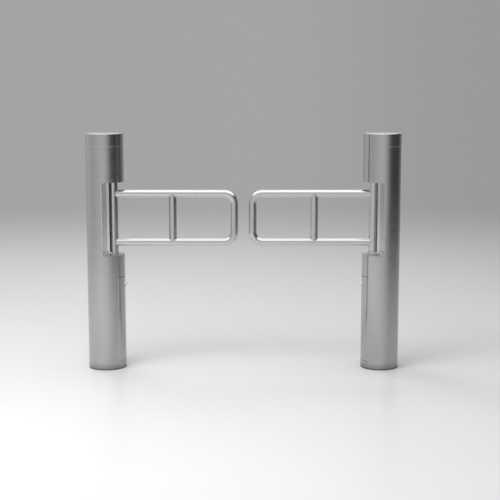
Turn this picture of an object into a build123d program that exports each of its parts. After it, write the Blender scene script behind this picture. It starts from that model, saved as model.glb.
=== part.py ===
"""Swing-arm visitor counter turnstile: two posts, each with one gate arm.

Frame: origin on the floor midway between the posts, +X from the left post to the right post,
+Y to the back, +Z up. Millimetres. The right post is the left post turned half a turn about Z.
Inside one post's frame, local +X points from the post's axis to the passage.
"""

from build123d import *
import os
from collections import namedtuple
from math import asin, atan, cos, degrees, pi, radians, sin, sqrt, tan

# ---------------------------------------------------------------- driving dimensions
POST_SPACING = 1168.0
POST_HEIGHT = 1000.0
POST_RADIUS = 80.0
POST_WALL = 2.5
POST_BORE = POST_RADIUS - POST_WALL

LID_HEIGHT = 54.0
LID_SEAM = 1.0
LID_TOP_THICKNESS = 3.0
LID_EDGE_RADIUS = 1.5
LID_SPIGOT_DEPTH = 21.0
LID_SPIGOT_GAP = 0.3

NOTCH_BOTTOM = 489.0
NOTCH_TOP = 797.0
NOTCH_FACE = -4.0
NOTCH_CORNER = 6.0
LINER_THICKNESS = 3.0
CUT_MARGIN = 10.0

DOOR_BOTTOM = 33.0
DOOR_TOP = 397.0
DOOR_HALF_WIDTH = 57.0
DOOR_SIDE_GAP = 1.2
DOOR_END_GAP = 1.5
DOOR_TOP_GAP = 2.0

HINGE_OFFSET = 35.0
HINGE_TUBE_RADIUS = 19.05
RAIL_RADIUS = 16.85
TUBE_WALL = 2.0
ARM_MIDDLE = 643.0
RAIL_SPACING = 206.0
ARM_REACH = 527.0
ARM_BEND_RADIUS = 42.0
MID_BAR_OFFSET = 250.0
MID_BAR_TIP = 4.0

SHAFT_RADIUS = 10.0
RUNNING_FIT = 0.02

# ---------------------------------------------------------------- base and cable entry
FLANGE_THICKNESS = 8.0
FLANGE_GAP = 0.05
ANCHOR_CIRCLE = 110.0
ANCHOR_HOLE_RADIUS = 6.0
ANCHOR_COUNT = 4
SQUARE_START = 45.0
GLAND_HOLE_RADIUS = 16.0
GLAND_BORE_RADIUS = 11.0
GLAND_NUT_RADIUS = 21.0
GLAND_NUT_HEIGHT = 7.0
GLAND_DOME_HEIGHT = 9.0
GLAND_DOME_TAPER = 15.0

# ---------------------------------------------------------------- hinge, bearings, housings
HINGE_TOP_GAP = 1.5
COLLAR_RADIUS = 20.0
COLLAR_HEIGHT = 9.0
COLLAR_BORE = 13.0
COLLAR_CHAMFER = 1.5
COLLAR_GAP = 2.0
HUB_THICKNESS = 12.0
HUB_FIT = 0.05
LINER_SHAFT_HOLE = 12.5

HOUSING_RADIUS = 30.0
HOUSING_HEIGHT = 16.0
HOUSING_LIP = 2.0
HOUSING_SCREW_CIRCLE = 25.5
HOUSING_SCREW_COUNT = 4
SCREW_SHANK = 2.4
SCREW_CLEARANCE = 2.6
SCREW_HEAD_RADIUS = 4.0
SCREW_HEAD_HEIGHT = 4.0
HEX_SOCKET = 1.8
HEX_SOCKET_DEPTH = 2.0

BEARING_OUTER = 21.0
BEARING_WIDTH = 12.0
BEARING_PITCH = 15.5
BEARING_INNER_RING = 13.5
BEARING_OUTER_RING = 17.5
BALL_RADIUS = 3.2
BALL_GROOVE = 3.3
BALL_COUNT = 8
BEARING_SEAT_GAP = 0.02

SHAFT_BOTTOM = 444.0
SHAFT_TOP = 876.0
SHAFT_CHAMFER = 1.0

# ---------------------------------------------------------------- drive in the head
GEAR_MODULE = 1.5
GEAR_TEETH = 52
PINION_TEETH = 18
PRESSURE_ANGLE = 20.0
TOOTH_BACKLASH = 0.16
ROOT_DEPTH = 1.25
FLANK_STEPS = 5
GEAR_LEVEL = 826.0
GEAR_FACE = 12.0
GEAR_HUB_RADIUS = 17.0
GEAR_HUB_HEIGHT = 7.0
GEAR_LIGHTENING = 6.5
GEAR_LIGHTENING_CIRCLE = 26.0
GEAR_LIGHTENING_COUNT = 6
AXLE_DISTANCE = GEAR_MODULE * (GEAR_TEETH + PINION_TEETH) / 2
PINION_OFFSET = HINGE_OFFSET - AXLE_DISTANCE
PINION_SHAFT = 5.0
PINION_SHAFT_LENGTH = 32.0

BRACKET_LEVEL = 848.0
BRACKET_THICKNESS = 5.0
BRACKET_RADIUS = 73.0
BRACKET_SHAFT_HOLE = 12.5
BRACKET_NOSE_HOLE = 13.5
PILLAR_RADIUS = 5.0
PILLAR_PLACES = ((0.0, 60.0), (0.0, -60.0), (50.0, 48.0), (50.0, -48.0))

MOTOR_NOSE_RADIUS = 13.0
MOTOR_NOSE_HEIGHT = 6.0
GEARBOX_RADIUS = 28.0
GEARBOX_HEIGHT = 34.0
MOTOR_RADIUS = 25.0
MOTOR_HEIGHT = 48.0
MOTOR_CAP_RADIUS = 20.0
MOTOR_CAP_HEIGHT = 7.0
MOTOR_PLUG = (16.0, 12.0, 12.0)

ENCODER_RADIUS = 20.5
ENCODER_THICKNESS = 2.0
ENCODER_HUB_RADIUS = 14.0
ENCODER_HUB_HEIGHT = 6.0
ENCODER_LEVEL = 862.0
ENCODER_SLOTS = 30
ENCODER_SLOT = (3.2, 1.2)
SENSOR_WIDTH = 12.0
SENSOR_INNER = 15.5
SENSOR_OUTER = 32.0
SENSOR_TOP = 874.0
SENSOR_SLOT_DEPTH = 8.0
SENSOR_SLOT_HEIGHT = 7.0

# ---------------------------------------------------------------- end stops under the notch
STOP_LEVEL = 448.0
STOP_THICKNESS = 12.0
STOP_HUB_RADIUS = 16.0
STOP_REACH = 41.0
STOP_HALF_WIDTH = 5.0
STOP_PIN_CIRCLE = 36.0
STOP_PIN_RADIUS = 2.5
STOP_BUFFER_RADIUS = 4.0
STOP_CLEARANCE = 0.35
STOP_TRAVEL = 90.0
STOP_PIN_OVERHANG = 2.0

# ---------------------------------------------------------------- electronics behind the door
TRAY_FACE = -28.0
TRAY_SHEET = 2.0
TRAY_HALF_WIDTH = 54.0
TRAY_BOTTOM = 70.0
TRAY_TOP = 384.0
TRAY_CLEARANCE = 0.3
STANDOFF_RADIUS = 3.0
STANDOFF_LENGTH = 6.0
BOARD_THICKNESS = 1.6
BOARD_HALF_WIDTH = 42.0
BOARD_BOTTOM = 222.0
BOARD_TOP = 372.0
BOARD_HOLE_INSET = 6.0
# Blocky parts on the board: across, up from the board's middle, width, height, depth.
BOARD_BLOCKS = {
    "relay_1": (-24.0, 38.0, 16.0, 20.0, 15.0),
    "relay_2": (-2.0, 38.0, 16.0, 20.0, 15.0),
    "relay_3": (20.0, 38.0, 16.0, 20.0, 15.0),
    "processor": (0.0, -6.0, 20.0, 20.0, 2.5),
    "lower_plug_row": (0.0, -60.0, 60.0, 9.0, 11.0),
    "side_plug_row": (-34.0, -6.0, 8.0, 46.0, 10.0),
}
# Capacitor cans: across, up from the board's middle, radius, depth.
BOARD_CANS = {
    "supply_capacitor": (26.0, -18.0, 7.0, 20.0),
    "logic_capacitor": (26.0, 4.0, 5.0, 14.0),
}
SUPPLY_BOTTOM = 82.0
SUPPLY_TOP = 182.0
SUPPLY_HALF_WIDTH = 44.0
SUPPLY_DEPTH = 30.0
SUPPLY_VENTS = 9
SUPPLY_VENT = (4.0, 24.0, 1.5)
SUPPLY_VENT_PITCH = (8.0, 33.6)
TERMINAL_BOTTOM = 193.0
TERMINAL_HEIGHT = 18.0
TERMINAL_DEPTH = 16.0
TERMINAL_HALF_WIDTH = 40.0
TERMINAL_WAYS = 10
TERMINAL_SCREW_HOLE = 8.0 / 3

# ---------------------------------------------------------------- door and lock
TONGUE_INNER = 71.3
TONGUE_THICKNESS = 2.0
TONGUE_Y = (8.0, 22.0)
TONGUE_DROP = 11.0
TONGUE_PAD = 15.0
LOCK_LEVEL = 358.5
LOCK_BEZEL_RADIUS = 9.5
LOCK_PROTRUSION = 7.0
LOCK_BEZEL_CHAMFER = 2.2
LOCK_BODY_RADIUS = 8.0
LOCK_BODY_FIT = 0.3
LOCK_BODY_END = 57.5
LOCK_NUT_ACROSS = 22.0
LOCK_NUT_THICKNESS = 4.5
LOCK_NUT_FACE = 76.3
PLUG_RADIUS = 5.5
PLUG_FIT = 0.04
PLUG_RECESS = 1.0
KEY_SLOT = (1.6, 7.0)
KEY_SLOT_DEPTH = 8.0
CAM_THICKNESS = 3.0
CAM_GAP = 0.6
CAM_LENGTH = 46.0
CAM_RADIUS = 7.5
CAM_TIP_RADIUS = 5.0
KEEPER_GAP = 0.6
KEEPER_SHEET = 3.0
KEEPER_HALF_WIDTH = 12.0
KEEPER_BOTTOM = 399.0
KEEPER_HEIGHT = 14.0

LID_SCREW_ANGLES = (62.0, 128.0)
LID_SCREW_DROP = 11.0
LID_SCREW_HEAD = 4.4
LID_SCREW_HEAD_DEPTH = 2.2
LID_SCREW_TAPER = 45.0
LID_SCREW_LENGTH = 9.0
LID_SCREW_SUNK = 0.25
FIT_GAP = 0.1

# ---------------------------------------------------------------- worked-out places
TUBE_TOP = POST_HEIGHT - LID_HEIGHT - LID_SEAM
LID_BOTTOM = POST_HEIGHT - LID_HEIGHT
SHELF_UNDERSIDE = NOTCH_BOTTOM - LINER_THICKNESS
HEAD_FLOOR = NOTCH_TOP + LINER_THICKNESS
HINGE_BOTTOM = NOTCH_BOTTOM + COLLAR_HEIGHT + COLLAR_GAP
HINGE_TOP = NOTCH_TOP - HINGE_TOP_GAP
UPPER_RAIL = ARM_MIDDLE + RAIL_SPACING / 2
LOWER_RAIL = ARM_MIDDLE - RAIL_SPACING / 2
END_BAR = HINGE_OFFSET + ARM_REACH - RAIL_RADIUS
MID_BAR = HINGE_OFFSET + MID_BAR_OFFSET
LID_SCREW_LEVEL = TUBE_TOP - LID_SCREW_DROP
BOARD_BACK = TRAY_FACE + STANDOFF_LENGTH
CAM_FACE = LOCK_BODY_END - CAM_GAP
STOP_PIN_ANGLE = STOP_TRAVEL - degrees(
    asin((STOP_HALF_WIDTH + STOP_BUFFER_RADIUS + STOP_CLEARANCE) / STOP_PIN_CIRCLE))

# One entry for each post: name, frame with local +X to the passage, and the sign that turns a
# local Y into "towards the back".
Post = namedtuple("Post", "side frame back")
POSTS = (
    Post("left", Plane(origin=(-POST_SPACING / 2, 0, 0), x_dir=(1, 0, 0), z_dir=(0, 0, 1)), 1),
    Post("right", Plane(origin=(POST_SPACING / 2, 0, 0), x_dir=(-1, 0, 0), z_dir=(0, 0, 1)), -1),
)

os.makedirs("parts", exist_ok=True)


def in_post(post, plane):
    """A plane given in the post's own frame, placed in the shared frame."""
    return Plane(post.frame.location * plane.location)


def level(post, height):
    """The horizontal plane at a height, centred on the post's axis."""
    return post.frame.offset(height)


def facing(post, distance):
    """The upright plane across the passage: sketch X is local Y, sketch Y is up."""
    return in_post(post, Plane.YZ.offset(distance))


def lengthwise(post):
    """The upright plane through the post's axis: sketch X is local X, sketch Y is up."""
    return in_post(post, Plane.XZ)


def save(builder, node):
    """Label one finished piece and write its STEP file."""
    builder.part.label = node
    export_step(builder.part, f"parts/{node}.step")


def save_for(post, builder, piece):
    save(builder, f"{piece}_{post.side}")


# ---------------------------------------------------------------- post shell
def make_post_tube(post):
    """The outer tube, with the arm's notch, the door opening and the lid's screw holes."""
    grown_notch = notch_outline(LINER_THICKNESS)
    with BuildPart() as post_tube:
        with BuildSketch(level(post, 0)):
            Circle(POST_RADIUS)
            Circle(POST_BORE, mode=Mode.SUBTRACT)
        extrude(amount=TUBE_TOP)
        with BuildSketch(lengthwise(post)):
            add(grown_notch)
        extrude(amount=POST_RADIUS + CUT_MARGIN, both=True, mode=Mode.SUBTRACT)
        with BuildSketch(facing(post, 0)):
            with Locations((0, DOOR_BOTTOM)):
                Rectangle(2 * DOOR_HALF_WIDTH, DOOR_TOP - DOOR_BOTTOM,
                          align=(Align.CENTER, Align.MIN))
        extrude(amount=POST_RADIUS + CUT_MARGIN, mode=Mode.SUBTRACT)
        for angle in LID_SCREW_ANGLES:
            with BuildSketch(radial_plane(post, angle)):
                Circle(SCREW_CLEARANCE)
            extrude(amount=-LID_SCREW_LENGTH, mode=Mode.SUBTRACT)
            with BuildSketch(radial_plane(post, angle)):
                Circle(LID_SCREW_HEAD + LID_SCREW_SUNK + FIT_GAP)
            extrude(amount=-LID_SCREW_HEAD_DEPTH, taper=LID_SCREW_TAPER, mode=Mode.SUBTRACT)
    save_for(post, post_tube, "post_tube")


def notch_outline(margin):
    """The notch seen along Y, grown by a margin, with its two inner corners rounded."""
    low = NOTCH_BOTTOM - margin
    high = NOTCH_TOP + margin
    left = NOTCH_FACE - margin
    right = POST_RADIUS + CUT_MARGIN
    corner = NOTCH_CORNER + margin
    with BuildSketch() as outline:
        with BuildLine():
            FilletPolyline((right, low), (left, low), (left, high), (right, high), radius=corner)
            Line((right, high), (right, low))
        make_face()
    return outline.sketch


def radial_plane(post, angle):
    """The plane that touches the post's surface at a lid screw, facing outwards."""
    turn = radians(angle)
    spot = Vector(cos(turn), sin(turn) * post.back, 0)
    origin = spot * POST_RADIUS + Vector(0, 0, LID_SCREW_LEVEL)
    return in_post(post, Plane(origin=origin, x_dir=(0, 0, 1), z_dir=spot))


def make_notch_liner(post):
    """One folded sheet that closes the notch: shelf, back wall and ceiling."""
    outer, inner = notch_outline(LINER_THICKNESS), notch_outline(0)
    with BuildPart() as notch_liner:
        with BuildSketch(lengthwise(post)):
            add(outer)
            add(inner, mode=Mode.SUBTRACT)
        extrude(amount=POST_RADIUS, both=True)
        with BuildSketch(level(post, 0)):
            Circle(POST_RADIUS)
        extrude(amount=POST_HEIGHT, mode=Mode.INTERSECT)
        with BuildSketch(level(post, 0)):
            with Locations((HINGE_OFFSET, 0)):
                Circle(LINER_SHAFT_HOLE)
            with Locations((HINGE_OFFSET, 0)):
                with PolarLocations(HOUSING_SCREW_CIRCLE, HOUSING_SCREW_COUNT, start_angle=SQUARE_START):
                    Circle(SCREW_CLEARANCE)
        extrude(amount=POST_HEIGHT, mode=Mode.SUBTRACT)
    save_for(post, notch_liner, "notch_liner")


def make_base_flange(post):
    """The plate inside the foot of the tube, with its anchor holes and cable hole."""
    with BuildPart() as base_flange:
        with BuildSketch(level(post, 0)):
            Circle(POST_BORE - FLANGE_GAP)
            Circle(GLAND_HOLE_RADIUS, mode=Mode.SUBTRACT)
            with PolarLocations(ANCHOR_CIRCLE / 2, ANCHOR_COUNT, start_angle=SQUARE_START):
                Circle(ANCHOR_HOLE_RADIUS, mode=Mode.SUBTRACT)
        extrude(amount=FLANGE_THICKNESS)
    save_for(post, base_flange, "base_flange")


def make_top_lid(post):
    """The lid: flat top, short skirt and a spigot that drops into the tube."""
    spigot = POST_BORE - LID_SPIGOT_GAP
    spigot_bore = spigot - POST_WALL
    with BuildPart() as top_lid:
        with BuildSketch(lengthwise(post)):
            with BuildLine():
                Polyline((0, POST_HEIGHT), (POST_RADIUS, POST_HEIGHT), (POST_RADIUS, LID_BOTTOM),
                         (spigot, LID_BOTTOM), (spigot, TUBE_TOP - LID_SPIGOT_DEPTH),
                         (spigot_bore, TUBE_TOP - LID_SPIGOT_DEPTH),
                         (spigot_bore, LID_BOTTOM + LID_SPIGOT_DEPTH / 2),
                         (POST_BORE, LID_BOTTOM + LID_SPIGOT_DEPTH / 2),
                         (POST_BORE, POST_HEIGHT - LID_TOP_THICKNESS),
                         (0, POST_HEIGHT - LID_TOP_THICKNESS), close=True)
            make_face()
        revolve(axis=post_axis(post))
        rim = top_lid.edges().filter_by(GeomType.CIRCLE).sort_by(Axis.Z)[-1]
        fillet(rim, LID_EDGE_RADIUS)
        for angle in LID_SCREW_ANGLES:
            with BuildSketch(radial_plane(post, angle)):
                Circle(SCREW_SHANK + FIT_GAP)
            extrude(amount=-LID_SCREW_LENGTH, mode=Mode.SUBTRACT)
    save_for(post, top_lid, "top_lid")


def post_axis(post):
    return Axis(post.frame.origin, post.frame.z_dir)


def make_hinge_collar(post):
    """The seal ring on the shelf round the arm's shaft."""
    with BuildPart() as hinge_collar:
        with BuildSketch(level(post, NOTCH_BOTTOM)):
            with Locations((HINGE_OFFSET, 0)):
                Circle(COLLAR_RADIUS)
                Circle(COLLAR_BORE, mode=Mode.SUBTRACT)
        extrude(amount=COLLAR_HEIGHT)
        top_rim = hinge_collar.edges().group_by(Axis.Z)[-1].sort_by(SortBy.LENGTH)[-1]
        chamfer(top_rim, COLLAR_CHAMFER)
    save_for(post, hinge_collar, "hinge_collar")


# ---------------------------------------------------------------- gate arm
def make_hinge_tube(post):
    """The upright tube in the notch that carries the arm."""
    with BuildPart() as hinge_tube:
        with BuildSketch(level(post, HINGE_BOTTOM)):
            with Locations((HINGE_OFFSET, 0)):
                Circle(HINGE_TUBE_RADIUS)
                Circle(HINGE_TUBE_RADIUS - TUBE_WALL, mode=Mode.SUBTRACT)
        extrude(amount=HINGE_TOP - HINGE_BOTTOM)
    save_for(post, hinge_tube, "hinge_tube")


def make_hinge_hubs(post):
    """The two discs that centre the hinge tube on its shaft."""
    with BuildPart() as hinge_hubs:
        for height in (HINGE_BOTTOM, HINGE_TOP - HUB_THICKNESS):
            with BuildSketch(level(post, height)):
                with Locations((HINGE_OFFSET, 0)):
                    Circle(HINGE_TUBE_RADIUS - TUBE_WALL - HUB_FIT)
                    Circle(SHAFT_RADIUS + HUB_FIT, mode=Mode.SUBTRACT)
            extrude(amount=HUB_THICKNESS)
    save_for(post, hinge_hubs, "hinge_hubs")


def make_arm_loop(post):
    """The bent tube: upper rail, end bar and lower rail, coped to the hinge tube."""
    with BuildPart() as arm_loop:
        with BuildLine(lengthwise(post)) as bend:
            FilletPolyline((HINGE_OFFSET, UPPER_RAIL), (END_BAR, UPPER_RAIL),
                           (END_BAR, LOWER_RAIL), (HINGE_OFFSET, LOWER_RAIL),
                           radius=ARM_BEND_RADIUS)
        with BuildSketch(Plane(origin=bend.line @ 0, z_dir=bend.line % 0)):
            Circle(RAIL_RADIUS)
            Circle(RAIL_RADIUS - TUBE_WALL, mode=Mode.SUBTRACT)
        sweep()
        with BuildSketch(level(post, LOWER_RAIL - RAIL_RADIUS)):
            with Locations((HINGE_OFFSET, 0)):
                Circle(HINGE_TUBE_RADIUS)
        extrude(amount=RAIL_SPACING + 2 * RAIL_RADIUS, mode=Mode.SUBTRACT)
    save_for(post, arm_loop, "arm_loop")


def make_arm_mid_bar(post):
    """The short upright bar, coped between the two rails."""
    with BuildPart() as arm_mid_bar:
        with BuildSketch(level(post, LOWER_RAIL + MID_BAR_TIP)):
            with Locations((MID_BAR, 0)):
                Circle(RAIL_RADIUS)
                Circle(RAIL_RADIUS - TUBE_WALL, mode=Mode.SUBTRACT)
        extrude(amount=RAIL_SPACING - 2 * MID_BAR_TIP)
        with BuildSketch(facing(post, MID_BAR)):
            with Locations((0, UPPER_RAIL), (0, LOWER_RAIL)):
                Circle(RAIL_RADIUS)
        extrude(amount=2 * RAIL_RADIUS, both=True, mode=Mode.SUBTRACT)
    save_for(post, arm_mid_bar, "arm_mid_bar")


def make_drive_shaft(post):
    """The shaft that runs from the end stop, through the hinge tube, to the gear."""
    with BuildPart() as drive_shaft:
        with BuildSketch(level(post, SHAFT_BOTTOM)):
            with Locations((HINGE_OFFSET, 0)):
                Circle(SHAFT_RADIUS)
        extrude(amount=SHAFT_TOP - SHAFT_BOTTOM)
        chamfer(drive_shaft.edges().filter_by(GeomType.CIRCLE), SHAFT_CHAMFER)
    save_for(post, drive_shaft, "drive_shaft")


# ---------------------------------------------------------------- drive
def gear_tooth(teeth):
    """One involute tooth along X, centred on the gear's axis."""
    pitch = GEAR_MODULE * teeth / 2
    base = pitch * cos(radians(PRESSURE_ANGLE))
    outer = pitch + GEAR_MODULE
    root = gear_root(teeth)
    start = max(base, root)

    def involute(radius):
        """Half of the tooth's angle at a radius."""
        roll = sqrt((radius / base) ** 2 - 1)
        at_pitch = tan(radians(PRESSURE_ANGLE)) - radians(PRESSURE_ANGLE)
        half_pitch = pi / (2 * teeth) - TOOTH_BACKLASH / (2 * pitch)
        return half_pitch + at_pitch - (roll - atan(roll))

    def spot(radius, side):
        angle = side * involute(radius)
        return (radius * cos(angle), radius * sin(angle))

    radii = [start + (outer - start) * step / FLANK_STEPS for step in range(FLANK_STEPS + 1)]
    inside = root - GEAR_MODULE / 2
    with BuildSketch() as tooth:
        with BuildLine():
            right = Spline(*[spot(radius, -1) for radius in radii])
            left = Spline(*[spot(radius, 1) for radius in radii])
            ThreePointArc(right @ 1, (outer, 0), left @ 1)
            low, high = spot(start, -1), spot(start, 1)
            Polyline(low, (inside, low[1]), (inside, high[1]), high)
        make_face()
    return tooth.sketch


def gear_root(teeth):
    """The radius at the bottom of a gear's teeth."""
    return GEAR_MODULE * (teeth / 2 - ROOT_DEPTH)


def make_driven_gear(post):
    """The large gear on the arm's shaft, with lightening holes and a hub."""
    tooth = gear_tooth(GEAR_TEETH)
    with BuildPart() as driven_gear:
        with BuildSketch(level(post, GEAR_LEVEL)):
            with Locations((HINGE_OFFSET, 0)):
                Circle(gear_root(GEAR_TEETH))
                with PolarLocations(0, GEAR_TEETH):
                    add(tooth)
                with PolarLocations(GEAR_LIGHTENING_CIRCLE, GEAR_LIGHTENING_COUNT):
                    Circle(GEAR_LIGHTENING, mode=Mode.SUBTRACT)
        extrude(amount=GEAR_FACE)
        with BuildSketch(level(post, GEAR_LEVEL + GEAR_FACE)):
            with Locations((HINGE_OFFSET, 0)):
                Circle(GEAR_HUB_RADIUS)
        extrude(amount=GEAR_HUB_HEIGHT)
        with BuildSketch(level(post, GEAR_LEVEL)):
            with Locations((HINGE_OFFSET, 0)):
                Circle(SHAFT_RADIUS + HUB_FIT)
        extrude(amount=GEAR_FACE + GEAR_HUB_HEIGHT, mode=Mode.SUBTRACT)
    save_for(post, driven_gear, "driven_gear")


def make_motor_pinion(post):
    """The motor's pinion with its output shaft. A gap faces the gear's tooth at rest."""
    tooth = gear_tooth(PINION_TEETH)
    with BuildPart() as motor_pinion:
        with BuildSketch(level(post, GEAR_LEVEL)):
            with Locations((PINION_OFFSET, 0)):
                Circle(gear_root(PINION_TEETH))
                with PolarLocations(0, PINION_TEETH, start_angle=180 / PINION_TEETH):
                    add(tooth)
        extrude(amount=GEAR_FACE)
        with BuildSketch(level(post, GEAR_LEVEL + GEAR_FACE)):
            with Locations((PINION_OFFSET, 0)):
                Circle(PINION_SHAFT)
        extrude(amount=PINION_SHAFT_LENGTH)
    save_for(post, motor_pinion, "motor_pinion")


def make_motor_bracket(post):
    """The plate over the gears that carries the motor."""
    with BuildPart() as motor_bracket:
        with BuildSketch(level(post, BRACKET_LEVEL)):
            Circle(BRACKET_RADIUS)
            with Locations((HINGE_OFFSET, 0)):
                Circle(BRACKET_SHAFT_HOLE, mode=Mode.SUBTRACT)
            with Locations((PINION_OFFSET, 0)):
                Circle(BRACKET_NOSE_HOLE, mode=Mode.SUBTRACT)
            with Locations(*PILLAR_PLACES):
                Circle(SCREW_CLEARANCE, mode=Mode.SUBTRACT)
        extrude(amount=BRACKET_THICKNESS)
    save_for(post, motor_bracket, "motor_bracket")


def make_gear_motor(post):
    """The geared motor: nose, gearbox, motor can, end cap and plug."""
    seat = BRACKET_LEVEL + BRACKET_THICKNESS
    can = seat + GEARBOX_HEIGHT
    cap = can + MOTOR_HEIGHT
    with BuildPart() as gear_motor:
        for bottom, radius, height in (
            (seat - MOTOR_NOSE_HEIGHT, MOTOR_NOSE_RADIUS, MOTOR_NOSE_HEIGHT),
            (seat, GEARBOX_RADIUS, GEARBOX_HEIGHT),
            (can, MOTOR_RADIUS, MOTOR_HEIGHT),
            (cap, MOTOR_CAP_RADIUS, MOTOR_CAP_HEIGHT),
        ):
            with BuildSketch(level(post, bottom)):
                with Locations((PINION_OFFSET, 0)):
                    Circle(radius)
            extrude(amount=height)
        with BuildSketch(level(post, can + MOTOR_HEIGHT / 2)):
            with Locations((PINION_OFFSET - MOTOR_RADIUS, 0)):
                Rectangle(MOTOR_PLUG[0], MOTOR_PLUG[1])
        extrude(amount=MOTOR_PLUG[2])
        with BuildSketch(level(post, seat - MOTOR_NOSE_HEIGHT)):
            with Locations((PINION_OFFSET, 0)):
                Circle(PINION_SHAFT + RUNNING_FIT)
        extrude(amount=MOTOR_NOSE_HEIGHT + PINION_SHAFT_LENGTH, mode=Mode.SUBTRACT)
    save_for(post, gear_motor, "gear_motor")


def make_encoder_disc(post):
    """The slotted disc that the sensor counts."""
    with BuildPart() as encoder_disc:
        with BuildSketch(level(post, ENCODER_LEVEL)):
            with Locations((HINGE_OFFSET, 0)):
                Circle(ENCODER_RADIUS)
                with PolarLocations(ENCODER_RADIUS - ENCODER_SLOT[0], ENCODER_SLOTS):
                    Rectangle(*ENCODER_SLOT, mode=Mode.SUBTRACT)
        extrude(amount=ENCODER_THICKNESS)
        with BuildSketch(level(post, ENCODER_LEVEL + ENCODER_THICKNESS)):
            with Locations((HINGE_OFFSET, 0)):
                Circle(ENCODER_HUB_RADIUS)
        extrude(amount=ENCODER_HUB_HEIGHT)
        with BuildSketch(level(post, ENCODER_LEVEL)):
            with Locations((HINGE_OFFSET, 0)):
                Circle(SHAFT_RADIUS + HUB_FIT)
        extrude(amount=ENCODER_THICKNESS + ENCODER_HUB_HEIGHT, mode=Mode.SUBTRACT)
    save_for(post, encoder_disc, "encoder_disc")


def make_encoder_sensor(post):
    """The fork that reads the disc, standing on the motor bracket."""
    foot = BRACKET_LEVEL + BRACKET_THICKNESS
    slot = ENCODER_LEVEL + ENCODER_THICKNESS / 2
    with BuildPart() as encoder_sensor:
        with BuildSketch(in_post(post, Plane.YZ.offset(HINGE_OFFSET - SENSOR_WIDTH / 2))):
            with Locations(((SENSOR_INNER + SENSOR_OUTER) / 2, foot)):
                Rectangle(SENSOR_OUTER - SENSOR_INNER, SENSOR_TOP - foot,
                          align=(Align.CENTER, Align.MIN))
            with Locations((SENSOR_INNER, slot)):
                Rectangle(SENSOR_SLOT_DEPTH, SENSOR_SLOT_HEIGHT, align=(Align.MIN, Align.CENTER),
                          mode=Mode.SUBTRACT)
        extrude(amount=SENSOR_WIDTH)
    save_for(post, encoder_sensor, "encoder_sensor")


def make_stop_arm(post):
    """The clamp on the shaft's lower end whose finger meets the buffers."""
    with BuildPart() as stop_arm:
        with BuildSketch(level(post, STOP_LEVEL)):
            with Locations((HINGE_OFFSET, 0)):
                Circle(STOP_HUB_RADIUS)
                Rectangle(STOP_REACH, 2 * STOP_HALF_WIDTH, align=(Align.MAX, Align.CENTER))
                Circle(SHAFT_RADIUS + HUB_FIT, mode=Mode.SUBTRACT)
        extrude(amount=STOP_THICKNESS)
    save_for(post, stop_arm, "stop_arm")


# ---------------------------------------------------------------- electronics
def make_electronics_tray(post):
    """A folded sheet across the tube with four standoffs for the control board."""
    reach = sqrt(POST_BORE ** 2 - TRAY_HALF_WIDTH ** 2) - TRAY_CLEARANCE
    with BuildPart() as electronics_tray:
        with BuildSketch(level(post, TRAY_BOTTOM)):
            with BuildLine():
                Polyline((-reach, TRAY_HALF_WIDTH), (TRAY_FACE, TRAY_HALF_WIDTH),
                         (TRAY_FACE, -TRAY_HALF_WIDTH), (-reach, -TRAY_HALF_WIDTH))
                offset(amount=TRAY_SHEET, side=Side.RIGHT, closed=True, kind=Kind.INTERSECTION)
            make_face()
        extrude(amount=TRAY_TOP - TRAY_BOTTOM)
        with BuildSketch(facing(post, TRAY_FACE)):
            with Locations(*board_corners()):
                Circle(STANDOFF_RADIUS)
        extrude(amount=STANDOFF_LENGTH)
    save_for(post, electronics_tray, "electronics_tray")


def board_corners():
    """The four fixing places of the control board."""
    across = BOARD_HALF_WIDTH - BOARD_HOLE_INSET
    heights = (BOARD_BOTTOM + BOARD_HOLE_INSET, BOARD_TOP - BOARD_HOLE_INSET)
    return [(y, z) for y in (-across, across) for z in heights]


def make_control_board(post):
    """The control board with its relays, capacitors, processor and plug rows."""
    middle = (BOARD_BOTTOM + BOARD_TOP) / 2
    front = BOARD_BACK + BOARD_THICKNESS
    with BuildPart() as control_board:
        with BuildSketch(facing(post, BOARD_BACK)):
            with Locations((0, middle)):
                Rectangle(2 * BOARD_HALF_WIDTH, BOARD_TOP - BOARD_BOTTOM)
        extrude(amount=BOARD_THICKNESS)
        for across, up, width, height, depth in BOARD_BLOCKS.values():
            with BuildSketch(facing(post, front)):
                with Locations((across, middle + up)):
                    Rectangle(width, height)
            extrude(amount=depth)
        for across, up, radius, depth in BOARD_CANS.values():
            with BuildSketch(facing(post, front)):
                with Locations((across, middle + up)):
                    Circle(radius)
            extrude(amount=depth)
    save_for(post, control_board, "control_board")


def make_power_supply(post):
    """The caged power supply with vent slots in its face."""
    vent_width, vent_height, vent_depth = SUPPLY_VENT
    middle = (SUPPLY_BOTTOM + SUPPLY_TOP) / 2
    with BuildPart() as power_supply:
        with BuildSketch(facing(post, TRAY_FACE)):
            with Locations((0, middle)):
                Rectangle(2 * SUPPLY_HALF_WIDTH, SUPPLY_TOP - SUPPLY_BOTTOM)
        extrude(amount=SUPPLY_DEPTH)
        with BuildSketch(facing(post, TRAY_FACE + SUPPLY_DEPTH - vent_depth)):
            with Locations((0, middle)):
                with GridLocations(*SUPPLY_VENT_PITCH, SUPPLY_VENTS, 2):
                    SlotOverall(vent_height, vent_width, rotation=90)
        extrude(amount=vent_depth, mode=Mode.SUBTRACT)
    save_for(post, power_supply, "power_supply")


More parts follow.
